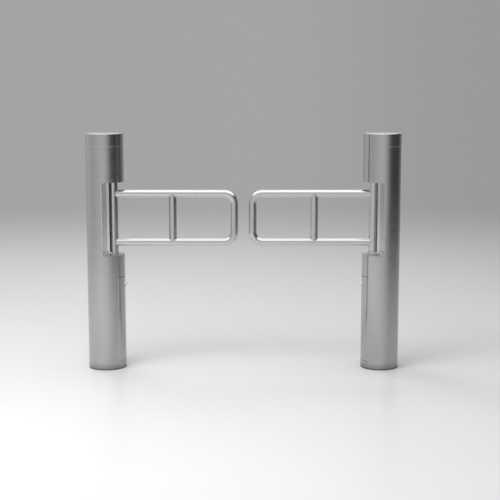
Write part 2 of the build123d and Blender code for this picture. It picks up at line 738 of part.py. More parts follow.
def make_terminal_block(post):
    """The row of screw terminals where the supply and signal wires end."""
    pitch = 2 * TERMINAL_HALF_WIDTH / TERMINAL_WAYS
    middle = TERMINAL_BOTTOM + TERMINAL_HEIGHT / 2
    with BuildPart() as terminal_block:
        with BuildSketch(facing(post, TRAY_FACE)):
            with Locations((0, middle)):
                Rectangle(2 * TERMINAL_HALF_WIDTH, TERMINAL_HEIGHT)
        extrude(amount=TERMINAL_DEPTH)
        with BuildSketch(facing(post, TRAY_FACE + TERMINAL_DEPTH / 2)):
            with Locations((0, middle)):
                with GridLocations(pitch, 0, TERMINAL_WAYS, 1):
                    Circle(TERMINAL_SCREW_HOLE)
        extrude(amount=TERMINAL_DEPTH / 2, mode=Mode.SUBTRACT)
    save_for(post, terminal_block, "terminal_block")


# ---------------------------------------------------------------- door and lock
def make_door_panel(post):
    """The curved access door with two tongues that hook behind the sill."""
    low = DOOR_BOTTOM + DOOR_END_GAP
    high = DOOR_TOP - DOOR_TOP_GAP
    half_width = DOOR_HALF_WIDTH - DOOR_SIDE_GAP
    with BuildPart() as door_panel:
        with BuildSketch(level(post, low)):
            Circle(POST_RADIUS)
            Circle(POST_BORE, mode=Mode.SUBTRACT)
            Rectangle(POST_RADIUS, 2 * half_width, align=(Align.MIN, Align.CENTER),
                      mode=Mode.INTERSECT)
        extrude(amount=high - low)
        for sign in (-1, 1):
            middle = sign * sum(TONGUE_Y) / 2
            width = TONGUE_Y[1] - TONGUE_Y[0]
            with BuildSketch(facing(post, TONGUE_INNER)):
                with Locations((middle, low - TONGUE_DROP)):
                    Rectangle(width, TONGUE_DROP + TONGUE_PAD, align=(Align.CENTER, Align.MIN))
            extrude(amount=TONGUE_THICKNESS)
            with BuildSketch(facing(post, TONGUE_INNER)):
                with Locations((middle, low + TONGUE_THICKNESS)):
                    Rectangle(width, TONGUE_PAD - TONGUE_THICKNESS,
                              align=(Align.CENTER, Align.MIN))
            extrude(amount=POST_BORE - TONGUE_INNER)
        with BuildSketch(facing(post, POST_BORE / 2)):
            with Locations((0, LOCK_LEVEL)):
                Circle(LOCK_BODY_RADIUS + LOCK_BODY_FIT)
        extrude(amount=POST_RADIUS, mode=Mode.SUBTRACT)
    save_for(post, door_panel, "door_panel")


def make_lock_barrel(post):
    """The lock's body: a domed bezel outside the door and a threaded body inside it."""
    with BuildPart() as lock_barrel:
        with BuildSketch(facing(post, POST_RADIUS)):
            with Locations((0, LOCK_LEVEL)):
                Circle(LOCK_BEZEL_RADIUS)
        extrude(amount=LOCK_PROTRUSION)
        front = lock_barrel.faces().sort_by(Axis(post.frame.origin, post.frame.x_dir))[-1]
        chamfer(front.edges(), LOCK_BEZEL_CHAMFER)
        with BuildSketch(facing(post, LOCK_BODY_END)):
            with Locations((0, LOCK_LEVEL)):
                Circle(LOCK_BODY_RADIUS)
        extrude(amount=POST_RADIUS - LOCK_BODY_END)
        with BuildSketch(facing(post, LOCK_BODY_END)):
            with Locations((0, LOCK_LEVEL)):
                Circle(PLUG_RADIUS + PLUG_FIT)
        extrude(amount=POST_RADIUS, mode=Mode.SUBTRACT)
    save_for(post, lock_barrel, "lock_barrel")


def make_lock_nut(post):
    """The hexagon nut that clamps the lock to the door."""
    with BuildPart() as lock_nut:
        with BuildSketch(facing(post, LOCK_NUT_FACE)):
            with Locations((0, LOCK_LEVEL)):
                RegularPolygon(LOCK_NUT_ACROSS / 2, 6, major_radius=False)
                Circle(LOCK_BODY_RADIUS + FIT_GAP, mode=Mode.SUBTRACT)
        extrude(amount=-LOCK_NUT_THICKNESS)
    save_for(post, lock_nut, "lock_nut")


def make_lock_plug(post):
    """The turning core with its key slot."""
    front = POST_RADIUS + LOCK_PROTRUSION - PLUG_RECESS
    with BuildPart() as lock_plug:
        with BuildSketch(facing(post, CAM_FACE - CAM_THICKNESS)):
            with Locations((0, LOCK_LEVEL)):
                Circle(PLUG_RADIUS)
        extrude(amount=front - CAM_FACE + CAM_THICKNESS)
        with BuildSketch(facing(post, front)):
            with Locations((0, LOCK_LEVEL)):
                Rectangle(*KEY_SLOT)
        extrude(amount=-KEY_SLOT_DEPTH, mode=Mode.SUBTRACT)
    save_for(post, lock_plug, "lock_plug")


def make_lock_cam(post):
    """The latch on the plug's inner end. It lies level when unlocked and points up when locked."""
    with BuildPart() as lock_cam:
        with BuildSketch(facing(post, CAM_FACE)):
            with BuildLine():
                hub = CenterArc((0, LOCK_LEVEL), CAM_RADIUS, 90, 180)
                tip = CenterArc((CAM_LENGTH - CAM_TIP_RADIUS, LOCK_LEVEL), CAM_TIP_RADIUS, -90, 180)
                Line(hub @ 0, tip @ 1)
                Line(hub @ 1, tip @ 0)
            make_face()
            with Locations((0, LOCK_LEVEL)):
                Circle(PLUG_RADIUS + HUB_FIT, mode=Mode.SUBTRACT)
        extrude(amount=-CAM_THICKNESS)
    save_for(post, lock_cam, "lock_cam")


# ---------------------------------------------------------------- pieces shared by both posts
def make_cable_glands():
    """The cable entry in each base plate: nut, dome and open bore."""
    with BuildPart() as cable_glands:
        for post in POSTS:
            with BuildSketch(level(post, FLANGE_THICKNESS)):
                RegularPolygon(GLAND_NUT_RADIUS, 6)
            extrude(amount=GLAND_NUT_HEIGHT)
            with BuildSketch(level(post, FLANGE_THICKNESS + GLAND_NUT_HEIGHT)):
                Circle(GLAND_HOLE_RADIUS)
            extrude(amount=GLAND_DOME_HEIGHT, taper=GLAND_DOME_TAPER)
            with BuildSketch(level(post, FLANGE_THICKNESS)):
                Circle(GLAND_HOLE_RADIUS - FIT_GAP)
            extrude(amount=-FLANGE_THICKNESS / 2)
            with BuildSketch(level(post, 0)):
                Circle(GLAND_BORE_RADIUS)
            extrude(amount=2 * (FLANGE_THICKNESS + GLAND_NUT_HEIGHT + GLAND_DOME_HEIGHT),
                    mode=Mode.SUBTRACT)
    save(cable_glands, "cable_glands")


def housing_levels():
    """Each bearing housing's seat height and the way that it stands on it."""
    return ((HEAD_FLOOR, 1), (SHELF_UNDERSIDE, -1))


def make_bearing_housings():
    """Four round housings, above and below each notch, each with a lip at its seat."""
    with BuildPart() as bearing_housings:
        for post in POSTS:
            for seat, way in housing_levels():
                with BuildSketch(level(post, seat)):
                    with Locations((HINGE_OFFSET, 0)):
                        Circle(HOUSING_RADIUS)
                        with PolarLocations(HOUSING_SCREW_CIRCLE, HOUSING_SCREW_COUNT,
                                            start_angle=SQUARE_START):
                            Circle(SCREW_CLEARANCE, mode=Mode.SUBTRACT)
                extrude(amount=way * HOUSING_HEIGHT)
                with BuildSketch(level(post, seat)):
                    with Locations((HINGE_OFFSET, 0)):
                        Circle(COLLAR_BORE)
                extrude(amount=way * HOUSING_HEIGHT, mode=Mode.SUBTRACT)
                with BuildSketch(level(post, seat + way * HOUSING_LIP)):
                    with Locations((HINGE_OFFSET, 0)):
                        Circle(BEARING_OUTER + BEARING_SEAT_GAP)
                extrude(amount=way * HOUSING_HEIGHT, mode=Mode.SUBTRACT)
    save(bearing_housings, "bearing_housings")


def make_bearings():
    """Four ball bearings, each two grooved rings and a set of balls."""
    with BuildPart() as bearings:
        for post in POSTS:
            for seat, way in housing_levels():
                low = seat + way * (HOUSING_LIP + BEARING_WIDTH / 2) - BEARING_WIDTH / 2
                with BuildSketch(level(post, low)):
                    with Locations((HINGE_OFFSET, 0)):
                        Circle(BEARING_OUTER)
                        Circle(BEARING_OUTER_RING, mode=Mode.SUBTRACT)
                        Circle(BEARING_INNER_RING)
                        Circle(SHAFT_RADIUS + RUNNING_FIT, mode=Mode.SUBTRACT)
                extrude(amount=BEARING_WIDTH)
                middle = in_post(post, Plane((HINGE_OFFSET, 0, low + BEARING_WIDTH / 2)))
                with Locations(middle):
                    Torus(BEARING_PITCH, BALL_GROOVE, mode=Mode.SUBTRACT)
                    with PolarLocations(BEARING_PITCH, BALL_COUNT):
                        Sphere(BALL_RADIUS)
    save(bearings, "bearings")


def make_bracket_pillars():
    """The round pillars that hold the motor bracket over the notch's ceiling."""
    with BuildPart() as bracket_pillars:
        for post in POSTS:
            with BuildSketch(level(post, HEAD_FLOOR)):
                with Locations(*PILLAR_PLACES):
                    Circle(PILLAR_RADIUS)
            extrude(amount=BRACKET_LEVEL - HEAD_FLOOR)
    save(bracket_pillars, "bracket_pillars")


def make_stop_buffers():
    """The rubber-sleeved stops that hang under each shelf, one at each end of the swing."""
    turn = radians(STOP_PIN_ANGLE)
    across = STOP_PIN_CIRCLE * sin(turn)
    along = HINGE_OFFSET + STOP_PIN_CIRCLE * cos(turn)
    drop = SHELF_UNDERSIDE - STOP_LEVEL + STOP_PIN_OVERHANG
    with BuildPart() as stop_buffers:
        for post in POSTS:
            with BuildSketch(level(post, SHELF_UNDERSIDE)):
                with Locations((along, across), (along, -across)):
                    Circle(STOP_PIN_RADIUS)
            extrude(amount=-drop)
            with BuildSketch(level(post, STOP_LEVEL)):
                with Locations((along, across), (along, -across)):
                    Circle(STOP_BUFFER_RADIUS)
            extrude(amount=STOP_THICKNESS)
    save(stop_buffers, "stop_buffers")


def make_door_keepers():
    """The angle above each door opening that the lock's cam turns up behind."""
    front = CAM_FACE + KEEPER_GAP
    top = KEEPER_BOTTOM + KEEPER_HEIGHT
    wall = sqrt(POST_BORE ** 2 - KEEPER_HALF_WIDTH ** 2)
    with BuildPart() as door_keepers:
        for post in POSTS:
            with BuildSketch(lengthwise(post)):
                with BuildLine():
                    Polyline((front, KEEPER_BOTTOM), (front + KEEPER_SHEET, KEEPER_BOTTOM),
                             (front + KEEPER_SHEET, top - KEEPER_SHEET),
                             (wall, top - KEEPER_SHEET), (wall, top), (front, top), close=True)
                make_face()
            extrude(amount=KEEPER_HALF_WIDTH, both=True)
    save(door_keepers, "door_keepers")


def make_lid_screws():
    """The countersunk screws at the back of each head that hold the lid's spigot."""
    with BuildPart() as lid_screws:
        for post in POSTS:
            for angle in LID_SCREW_ANGLES:
                face = radial_plane(post, angle).offset(-LID_SCREW_SUNK)
                with BuildSketch(face):
                    Circle(LID_SCREW_HEAD)
                extrude(amount=-LID_SCREW_HEAD_DEPTH + LID_SCREW_SUNK, taper=LID_SCREW_TAPER)
                with BuildSketch(face):
                    Circle(SCREW_SHANK)
                extrude(amount=-LID_SCREW_LENGTH)
                with BuildSketch(face):
                    RegularPolygon(HEX_SOCKET, 6)
                extrude(amount=-HEX_SOCKET_DEPTH, mode=Mode.SUBTRACT)
    save(lid_screws, "lid_screws")


def make_housing_screws():
    """The cap screws that hold the bearing housings to the liners."""
    with BuildPart() as housing_screws:
        for post in POSTS:
            for seat, way in housing_levels():
                outer = seat + way * HOUSING_HEIGHT
                shank = HOUSING_HEIGHT + LINER_THICKNESS / 2
                ring = dict(radius=HOUSING_SCREW_CIRCLE, count=HOUSING_SCREW_COUNT,
                            start_angle=SQUARE_START)
                with BuildSketch(level(post, outer)):
                    with Locations((HINGE_OFFSET, 0)):
                        with PolarLocations(**ring):
                            Circle(SCREW_SHANK)
                extrude(amount=-way * shank)
                with BuildSketch(level(post, outer)):
                    with Locations((HINGE_OFFSET, 0)):
                        with PolarLocations(**ring):
                            Circle(SCREW_HEAD_RADIUS)
                extrude(amount=way * SCREW_HEAD_HEIGHT)
                with BuildSketch(level(post, outer + way * SCREW_HEAD_HEIGHT)):
                    with Locations((HINGE_OFFSET, 0)):
                        with PolarLocations(**ring):
                            RegularPolygon(HEX_SOCKET, 6)
                extrude(amount=-way * HEX_SOCKET_DEPTH, mode=Mode.SUBTRACT)
    save(housing_screws, "housing_screws")


PIECES_OF_ONE_POST = (
    make_post_tube,
    make_notch_liner,
    make_base_flange,
    make_top_lid,
    make_hinge_collar,
    make_hinge_tube,
    make_hinge_hubs,
    make_arm_loop,
    make_arm_mid_bar,
    make_drive_shaft,
    make_driven_gear,
    make_motor_pinion,
    make_motor_bracket,
    make_gear_motor,
    make_encoder_disc,
    make_encoder_sensor,
    make_stop_arm,
    make_electronics_tray,
    make_control_board,
    make_power_supply,
    make_terminal_block,
    make_door_panel,
    make_lock_barrel,
    make_lock_nut,
    make_lock_plug,
    make_lock_cam,
)

PIECES_OF_BOTH_POSTS = (
    make_cable_glands,
    make_bearing_housings,
    make_bearings,
    make_bracket_pillars,
    make_stop_buffers,
    make_door_keepers,
    make_lid_screws,
    make_housing_screws,
)

for post in POSTS:
    for make_piece in PIECES_OF_ONE_POST:
        make_piece(post)

for make_pieces in PIECES_OF_BOTH_POSTS:
    make_pieces()
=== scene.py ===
from contextlib import contextmanager
from math import atan2, cos, pi, radians, sin, sqrt

import bmesh
import bpy
from bpy.props import FloatProperty, FloatVectorProperty, IntProperty, PointerProperty
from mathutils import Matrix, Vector


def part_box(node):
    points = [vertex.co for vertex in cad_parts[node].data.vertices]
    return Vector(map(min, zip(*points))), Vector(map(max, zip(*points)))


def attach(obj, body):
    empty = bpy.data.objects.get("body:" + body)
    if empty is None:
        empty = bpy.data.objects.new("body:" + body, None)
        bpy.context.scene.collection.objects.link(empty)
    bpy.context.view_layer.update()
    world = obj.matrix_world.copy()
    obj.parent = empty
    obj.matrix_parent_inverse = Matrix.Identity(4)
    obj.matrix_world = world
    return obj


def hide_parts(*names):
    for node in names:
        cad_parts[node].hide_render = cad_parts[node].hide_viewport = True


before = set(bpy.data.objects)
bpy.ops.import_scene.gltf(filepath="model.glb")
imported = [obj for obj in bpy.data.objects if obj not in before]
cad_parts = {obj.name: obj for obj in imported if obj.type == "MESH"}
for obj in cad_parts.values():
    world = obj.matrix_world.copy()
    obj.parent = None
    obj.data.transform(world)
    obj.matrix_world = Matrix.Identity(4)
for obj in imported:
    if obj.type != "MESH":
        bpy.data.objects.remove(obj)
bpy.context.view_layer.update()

bl_info = {
    "name": "Visitor counter turnstile",
    "version": (1, 0, 0),
    "blender": (4, 5, 0),
    "location": "3D View > Sidebar > Turnstile",
    "description": "Two steel posts with swinging gate arms, built round the packed frame",
    "category": "Object",
}

SIDES = ("left", "right")
HALF_TURN = pi
QUARTER = pi / 2

# Fixed details of the pieces, in metres.
TOUCHING = 1e-5               # how near a point is to count as lying on an edge or a face
SLIVER = 2e-6                 # points nearer than this are one point
OVERSHOOT = 0.01              # how far a cutting solid stands out of what it cuts
HOLE_SIDES = 48
HINGE_SIDES = 80
BEND_STEPS = 18
BEAD_POINTS = 96
BEAD_RIPPLE = 0.86            # every second ripple of a bead, as part of the full thickness
SHAFT_HOLE = 0.0125           # radius of the hole in the notch's shelf and ceiling
SCREW_TURNS = (62, 128)       # degrees from the lane, round the back of the post
SCREW_SEAT = {"radius1": 0.0026, "radius2": 0.0067, "depth": 0.0041}
SCREW_SEAT_SINK = 0.0001
LID_EDGE = 0.0015
LID_TOP = 0.003               # thickness of the lid's flat top
LID_GAP = 0.0003              # slack of the lid's skirt in the tube
LID_SEAM = 0.001
LOCK_HOLE = 0.0083
TONGUE_SPAN = (0.008, 0.022)  # a tongue's two sides, from the middle of the door
TONGUE_SHEET = 0.002
TONGUE_LAP = 0.015            # how far a tongue runs up behind the door
TONGUE_CORNER = 0.004
PAD_INSET = 0.0005            # how much smaller than the tongue's lap its pad is
PAD_REACH = 0.0008            # how far the pad goes into the door's sheet
COPE_LAP = 0.0003             # how far the loop's ends go into the hinge tube
BAR_LAP = 0.0002              # how far the middle bar's ends go into the rails
FINE_EDGE = 0.0003            # rounding of small turned pieces
HINGE_EDGE = 0.0005
SMOOTH_BELOW = radians(35)    # edges sharper than this stay sharp on the arms


# ---------------------------------------------------------------- what a user would change
class PostSizes(bpy.types.PropertyGroup):
    """Sizes of the posts' sheet work, in metres."""
    wall: FloatProperty(name="Wall", description="Thickness of the post's tube and of its door",
                        default=0.0025, min=0.001, unit="LENGTH")
    liner: FloatProperty(name="Liner sheet", description="Thickness of the notch's folded sheet",
                         default=0.003, min=0.001, unit="LENGTH")
    notch_corner: FloatProperty(name="Notch corner",
                                description="Outer radius of the liner's folds",
                                default=0.009, min=0.002, unit="LENGTH")
    door_sill: FloatProperty(name="Door sill", description="Height where the door opening starts",
                             default=0.033, unit="LENGTH")
    door_head: FloatProperty(name="Door head", description="Height where the door opening ends",
                             default=0.397, unit="LENGTH")
    door_half: FloatProperty(name="Door half width",
                             description="From the middle to the opening's side",
                             default=0.057, unit="LENGTH")
    door_foot: FloatProperty(name="Door foot", description="Height of the panel's lower edge",
                             default=0.0345, unit="LENGTH")
    softness: FloatProperty(name="Edge softness", description="Width of the rounding on cut edges",
                            default=0.0009, min=0.0001, unit="LENGTH")
    lip: FloatProperty(name="Liner lip", description="Width of the rounding on the liner's edges",
                       default=0.0013, min=0.0001, unit="LENGTH")
    sides: IntProperty(name="Facets", description="Flats round a post", default=160, min=48)


class ArmSizes(bpy.types.PropertyGroup):
    """Sizes of the gate arms, in metres."""
    bend: FloatProperty(name="Bend", description="Radius of the loop's bends, at the tube's middle",
                        default=0.042, min=0.02, unit="LENGTH")
    hinge_wall: FloatProperty(name="Hinge wall", description="Wall of the hinge tube",
                              default=0.002, min=0.001, unit="LENGTH")
    collar_bore: FloatProperty(name="Collar bore", description="Radius of the collar's hole",
                               default=0.013, min=0.011, unit="LENGTH")
    collar_chamfer: FloatProperty(name="Collar chamfer",
                                  description="Sloped edge on top of the collar",
                                  default=0.0015, min=0.0005, unit="LENGTH")
    weld: FloatProperty(name="Weld bead", description="Radius of the weld beads on the tube joints",
                        default=0.0016, min=0.0005, unit="LENGTH")
    sides: IntProperty(name="Facets", description="Flats round an arm's tube", default=64, min=24)


class LockSizes(bpy.types.PropertyGroup):
    """Sizes of the door lock, in metres."""
    bezel_chamfer: FloatProperty(name="Bezel chamfer", description="Sloped rim of the lock's face",
                                 default=0.0022, min=0.0005, unit="LENGTH")
    bore: FloatProperty(name="Plug bore", description="Radius of the hole that the plug turns in",
                        default=0.00554, min=0.004, unit="LENGTH")
    body: FloatProperty(name="Body", description="Radius of the lock's body behind its bezel",
                        default=0.008, min=0.006, unit="LENGTH")


class Finishes(bpy.types.PropertyGroup):
    """Colours and gloss of the visible finishes."""
    post_steel: FloatVectorProperty(name="Post steel", description="Satin stainless of the posts",
                                    default=(0.42, 0.42, 0.42), size=3, subtype="COLOR")
    arm_steel: FloatVectorProperty(name="Arm steel", description="Polished stainless of the arms",
                                   default=(0.52, 0.52, 0.52), size=3, subtype="COLOR")
    post_roughness: FloatProperty(name="Post roughness",
                                  description="Blur of the posts' reflections",
                                  default=0.17, min=0.0, max=1.0, subtype="FACTOR")
    arm_roughness: FloatProperty(name="Arm roughness", description="Blur of the arms' reflections",
                                 default=0.13, min=0.0, max=1.0, subtype="FACTOR")


class Studio(bpy.types.PropertyGroup):
    """Camera, floor and light."""
    eye: FloatVectorProperty(name="Camera place", description="Where the camera stands",
                             default=(0.0281, -4.875, 1.219), size=3, subtype="TRANSLATION")
    tilt: FloatProperty(name="Camera tilt", description="Turn about X from looking straight down",
                        default=radians(81.67), subtype="ANGLE")
    lens: FloatProperty(name="Lens", description="Focal length in millimetres", default=83.45)
    floor_radius: FloatProperty(name="Floor radius", description="Where the floor has faded out",
                                default=8.0, unit="LENGTH")
    floor_tone: FloatProperty(name="Floor tone", description="Lightness of the floor",
                              default=0.37, min=0.0, max=1.0, subtype="FACTOR")
    lamp: FloatProperty(name="Softbox power", description="Power of the large light overhead",
                        default=190.0, min=0.0, unit="POWER")
    back_lamp: FloatProperty(name="Back light power", description="Power of the light behind",
                             default=210.0, min=0.0, unit="POWER")


# ---------------------------------------------------------------- modelling by hand
def alone(*pieces):
    """Selects these pieces and nothing else, the first one active."""
    bpy.ops.object.select_all(action="DESELECT")
    for piece in pieces:
        piece.select_set(True)
    bpy.context.view_layer.objects.active = pieces[0]


def added(name, primitive, **settings):
    """Adds one primitive at its size and place, and leaves its object at the origin."""
    bpy.ops.object.select_all(action="DESELECT")
    primitive(**settings)
    piece = bpy.context.object
    piece.name = piece.data.name = name
    bpy.ops.object.transform_apply(location=True, rotation=True, scale=True)
    return piece


@contextmanager
def editing(piece):
    """Edit mode on one piece."""
    alone(piece)
    bpy.ops.object.mode_set(mode="EDIT")
    yield
    bpy.ops.object.mode_set(mode="OBJECT")


def pick(piece, kind, test):
    """Selects the faces, edges or points that pass a test, by their place or normal."""
    bpy.ops.mesh.select_mode(type=kind)
    bpy.ops.mesh.select_all(action="DESELECT")
    net = bmesh.from_edit_mesh(piece.data)
    for element in {"FACE": net.faces, "EDGE": net.edges, "VERT": net.verts}[kind]:
        element.select_set(test(element))
    bmesh.update_edit_mesh(piece.data)


def middle(edge):
    """The point half way along an edge."""
    return (edge.verts[0].co + edge.verts[1].co) / 2


def pushed(x=0.0, y=0.0, z=0.0):
    """Extrudes what is selected by a step."""
    bpy.ops.mesh.extrude_region_move(TRANSFORM_OT_translate={"value": (x, y, z)})


def with_modifier(piece, kind, **settings):
    """Adds a modifier, sets it and applies it."""
    alone(piece)
    bpy.ops.object.modifier_add(type=kind)
    modifier = piece.modifiers[-1]
    for name, value in settings.items():
        setattr(modifier, name, value)
    bpy.ops.object.modifier_apply(modifier=modifier.name)


def without_slivers(piece):
    """Merges points that lie on each other and drops the faces that have no area."""
    with editing(piece):
        bpy.ops.mesh.select_mode(type="VERT")
        bpy.ops.mesh.select_all(action="SELECT")
        bpy.ops.mesh.remove_doubles(threshold=SLIVER)
        bpy.ops.mesh.dissolve_degenerate(threshold=SLIVER)


def combined(piece, *others, how="DIFFERENCE"):
    """Cuts, joins or trims a piece with others, which are used up."""
    for other in others:
        with_modifier(piece, "BOOLEAN", object=other, operation=how, solver="EXACT")
        bpy.data.objects.remove(other)
    without_slivers(piece)


def soften(piece, width, angle=40.0):
    """Rounds the sharp edges, marks the rounded strips for a painted highlight and some wear, and
    evens the shading.
    """
    with_modifier(piece, "BEVEL", width=width, segments=2, limit_method="ANGLE",
                  angle_limit=radians(angle), miter_outer="MITER_ARC")
    without_slivers(piece)
    worn = piece.data.attributes.new("worn", "FLOAT", "FACE")
    for face in piece.data.polygons:
        longest = max((piece.data.vertices[a].co - piece.data.vertices[b].co).length
                      for a, b in face.edge_keys)
        # narrow rounded strips are marked for a painted highlight, partly wear
        worn.data[face.index].value = float(face.area < longest * width)
    alone(piece)
    bpy.ops.object.shade_smooth()
    with_modifier(piece, "WEIGHTED_NORMAL", weight=50, keep_sharp=False)


def round_shading(piece, x):
    """Shades the faces that follow the round about an upright axis as one true round."""
    axis = Vector((x, 0))
    outwards = [(point.co.xy - axis).normalized() for point in piece.data.vertices]
    directions = [Vector(corner.vector) for corner in piece.data.corner_normals]
    for face in piece.data.polygons:
        facing = [outwards[point].dot(face.normal.xy) for point in face.vertices]
        if min(map(abs, facing)) > 0.99:
            for corner, point in zip(face.loop_indices, face.vertices):
                directions[corner] = Vector((*outwards[point], 0)) * (1 if facing[0] > 0 else -1)
    piece.data.normals_split_custom_set(directions)


def mark_flat_tops(piece):
    """Marks the level faces that look up, which are painted paler as light falling from above and
    keep the sheet's duller skin.
    """
    flat = piece.data.attributes.new("flat", "FLOAT", "FACE")
    for face in piece.data.polygons:
        flat.data[face.index].value = float(face.normal.z > 0.98)


def measured(piece, along):
    """Writes how far each point lies along the grain, in metres, for the brushing to follow."""
    grain = piece.data.attributes.new("along", "FLOAT", "POINT")
    for point in piece.data.vertices:
        grain.data[point.index].value = along(point.co)


def block(name, low, high):
    """A box between two corners."""
    low, high = Vector(low), Vector(high)
    return added(name, bpy.ops.mesh.primitive_cube_add, size=1, location=(low + high) / 2,
                 scale=high - low)


def rod(name, radius, start, end, sides):
    """A closed round bar between two points."""
    start, end = Vector(start), Vector(end)
    return added(name, bpy.ops.mesh.primitive_cylinder_add, vertices=sides, radius=radius,
                 depth=(end - start).length, location=(start + end) / 2,
                 rotation=(end - start).to_track_quat("Z", "X").to_euler())


def upright_tube(name, x, radius, wall, low, high, sides):
    """A tube standing on end: a bar whose two ends are inset by the wall and bridged."""
    tube = rod(name, radius, (x, 0, low), (x, 0, high), sides)
    with editing(tube):
        pick(tube, "FACE", lambda face: abs(face.normal.z) > 0.9)
        bpy.ops.mesh.inset(thickness=wall)
        bpy.ops.mesh.bridge_edge_loops()
    return tube


def in_place(piece, body, nodes, finish):
    """Says what a finished piece rides on, stands for and is made of."""
    piece.data.materials.clear()
    piece.data.materials.append(finish)
    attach(piece, body)
    if nodes:
        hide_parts(*nodes)


def on_both_posts(piece, stem, body, nodes, finish, last=None):
    """Fits a piece made for the left post, and a copy of it turned half a turn for the right.

    The last touches differ between the sides, so they come after the copy is made."""
    alone(piece)
    bpy.ops.object.duplicate()
    twin = bpy.context.object
    bpy.ops.transform.rotate(value=HALF_TURN, orient_axis="Z", center_override=(0, 0, 0))
    bpy.ops.object.transform_apply(location=True, rotation=True, scale=True)
    for side, one in zip(SIDES, (piece, twin)):
        one.name = one.data.name = f"{stem}_{side}"
        if last:
            last(one, side)
        in_place(one, body.format(side=side),
                 [f"{node}_{side}" for node in nodes], finish)


# ---------------------------------------------------------------- places taken from the frame
def post_axis(side="left"):
    """A post's axis and radius."""
    low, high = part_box(f"post_tube_{side}")
    return (low.x + high.x) / 2, (high.x - low.x) / 2


def hinge_axis():
    """Where the left arm's upright axis stands."""
    low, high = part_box("hinge_tube_left")
    return (low.x + high.x) / 2


def rail_heights():
    """Radius of the arm's tube and the heights of its two rails."""
    low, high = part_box("arm_loop_left")
    radius = high.y
    return radius, low.z + radius, high.z - radius


def lid_screw_seats(side):
    """The cones that seat a post's two lid screws, both on its back."""
    x, radius = post_axis(side)
    low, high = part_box("lid_screws")
    for turn in map(radians, SCREW_TURNS):
        outwards = Vector((cos(turn) * (1 if side == "left" else -1), sin(turn), 0))
        centre = Vector((x, 0, (low.z + high.z) / 2)) + outwards * (radius - SCREW_SEAT_SINK)
        yield added("screw_seat", bpy.ops.mesh.primitive_cone_add, vertices=32, **SCREW_SEAT,
                    location=centre, rotation=outwards.to_track_quat("Z", "X").to_euler())


# ---------------------------------------------------------------- finishes
class Wire:
    """One output of a finish's nodes, on which sums can be written as sums."""

    def __init__(self, recipe, socket):
        self.recipe, self.socket = recipe, socket

    def sum(self, operation, *values):
        return self.recipe.add("ShaderNodeMath", {"operation": operation}, dict(enumerate(values)))

    def __add__(self, other):
        return self.sum("ADD", self, other)

    def __sub__(self, other):
        return self.sum("SUBTRACT", self, other)

    def __rsub__(self, other):
        return self.sum("SUBTRACT", other, self)

    def __mul__(self, other):
        return self.sum("MULTIPLY", self, other)

    __radd__, __rmul__ = __add__, __mul__

    def above(self, edge, blur):
        """0 below an edge and 1 above it, with a soft change between."""
        return self.recipe.add("ShaderNodeMapRange", {"interpolation_type": "SMOOTHSTEP"},
                               {0: self, 1: edge - blur, 2: edge + blur, 3: 0.0, 4: 1.0})


class Recipe:
    """The nodes of one finish or of the world's light."""

    def __init__(self, tree):
        self.tree = tree
        tree.nodes.clear()

    def add(self, kind, settings=None, links=None, output=0):
        """Adds one node: its settings first, then the values or links of its sockets."""
        node = self.tree.nodes.new(kind)
        for name, value in (settings or {}).items():
            if name == "stops":
                self.set_stops(node.color_ramp, value)
            else:
                setattr(node, name, value)
        for name, value in (links or {}).items():
            if isinstance(value, Wire):
                self.tree.links.new(value.socket, node.inputs[name])
            else:
                node.inputs[name].default_value = value
        return Wire(self, node.outputs[output]) if node.outputs else node

    @staticmethod
    def set_stops(ramp, stops):
        """Writes a ramp's stops, which are places and lightnesses."""
        ramp.interpolation = "EASE"
        while len(ramp.elements) < len(stops):
            ramp.elements.new(0.5)
        for element, (place, tone) in zip(ramp.elements, stops):
            element.position = place
            element.color = (tone, tone, tone, 1)

    def place(self):
        """Where each point of the surface is, in metres."""
        return self.add("ShaderNodeTexCoord", output="Object")

    def stretched(self, vector, scale):
        """The same places, scaled along each axis."""
        return self.add("ShaderNodeMapping", {}, {"Vector": vector, "Scale": scale})

    def noise(self, vector, scale=1.0, detail=2.0, roughness=0.5, distortion=0.0):
        """Soft random blotches about 0.5."""
        return self.add("ShaderNodeTexNoise", {}, {
            "Vector": vector, "Scale": scale, "Detail": detail, "Roughness": roughness,
            "Distortion": distortion})

    def part_of(self, vector, axis):
        """One of a vector's three numbers."""
        return self.add("ShaderNodeSeparateXYZ", {}, {0: vector}, output=axis)

    def mark(self, name):
        """A number that the piece carries on its mesh."""
        return self.add("ShaderNodeAttribute", {"attribute_name": name}, output="Fac")

    def blend(self, factor, first, second):
        """A colour between two colours."""
        def paint(colour):
            return colour if isinstance(colour, Wire) else (*colour, 1)
        return self.add("ShaderNodeMix", {"data_type": "RGBA"},
                        {0: factor, 6: paint(first), 7: paint(second)}, output=2)

    def bump(self, height, depth):
        """Fine relief, from a height of 0 to 1 and its depth in metres."""
        return self.add("ShaderNodeBump", {}, {"Height": height, "Distance": depth})

    def surface(self, **sockets):
        """The shader that the finish ends in. Spaces in a socket's name are underscores here."""
        links = {name.replace("_", " "): value for name, value in sockets.items()}
        shader = self.add("ShaderNodeBsdfPrincipled", {}, links)
        self.add("ShaderNodeOutputMaterial", {}, {"Surface": shader})


# Steel where its sheet lies flat and looks up, painted paler as light from above, and where its
# edges are painted bright as a highlight, partly wear.
LIT_TOP_STEEL = (0.62, 0.62, 0.62)
EDGE_WEAR_AND_HIGHLIGHT = (0.86, 0.86, 0.86)


def new_finish(name):
    """An empty finish by this name, and its recipe."""
    material = bpy.data.materials.new(name)
    material.use_nodes = True
    return material, Recipe(material.node_tree)


def shade(colour, factor):
    """A colour made lighter or darker."""
    return tuple(min(1.0, part * factor) for part in colour)


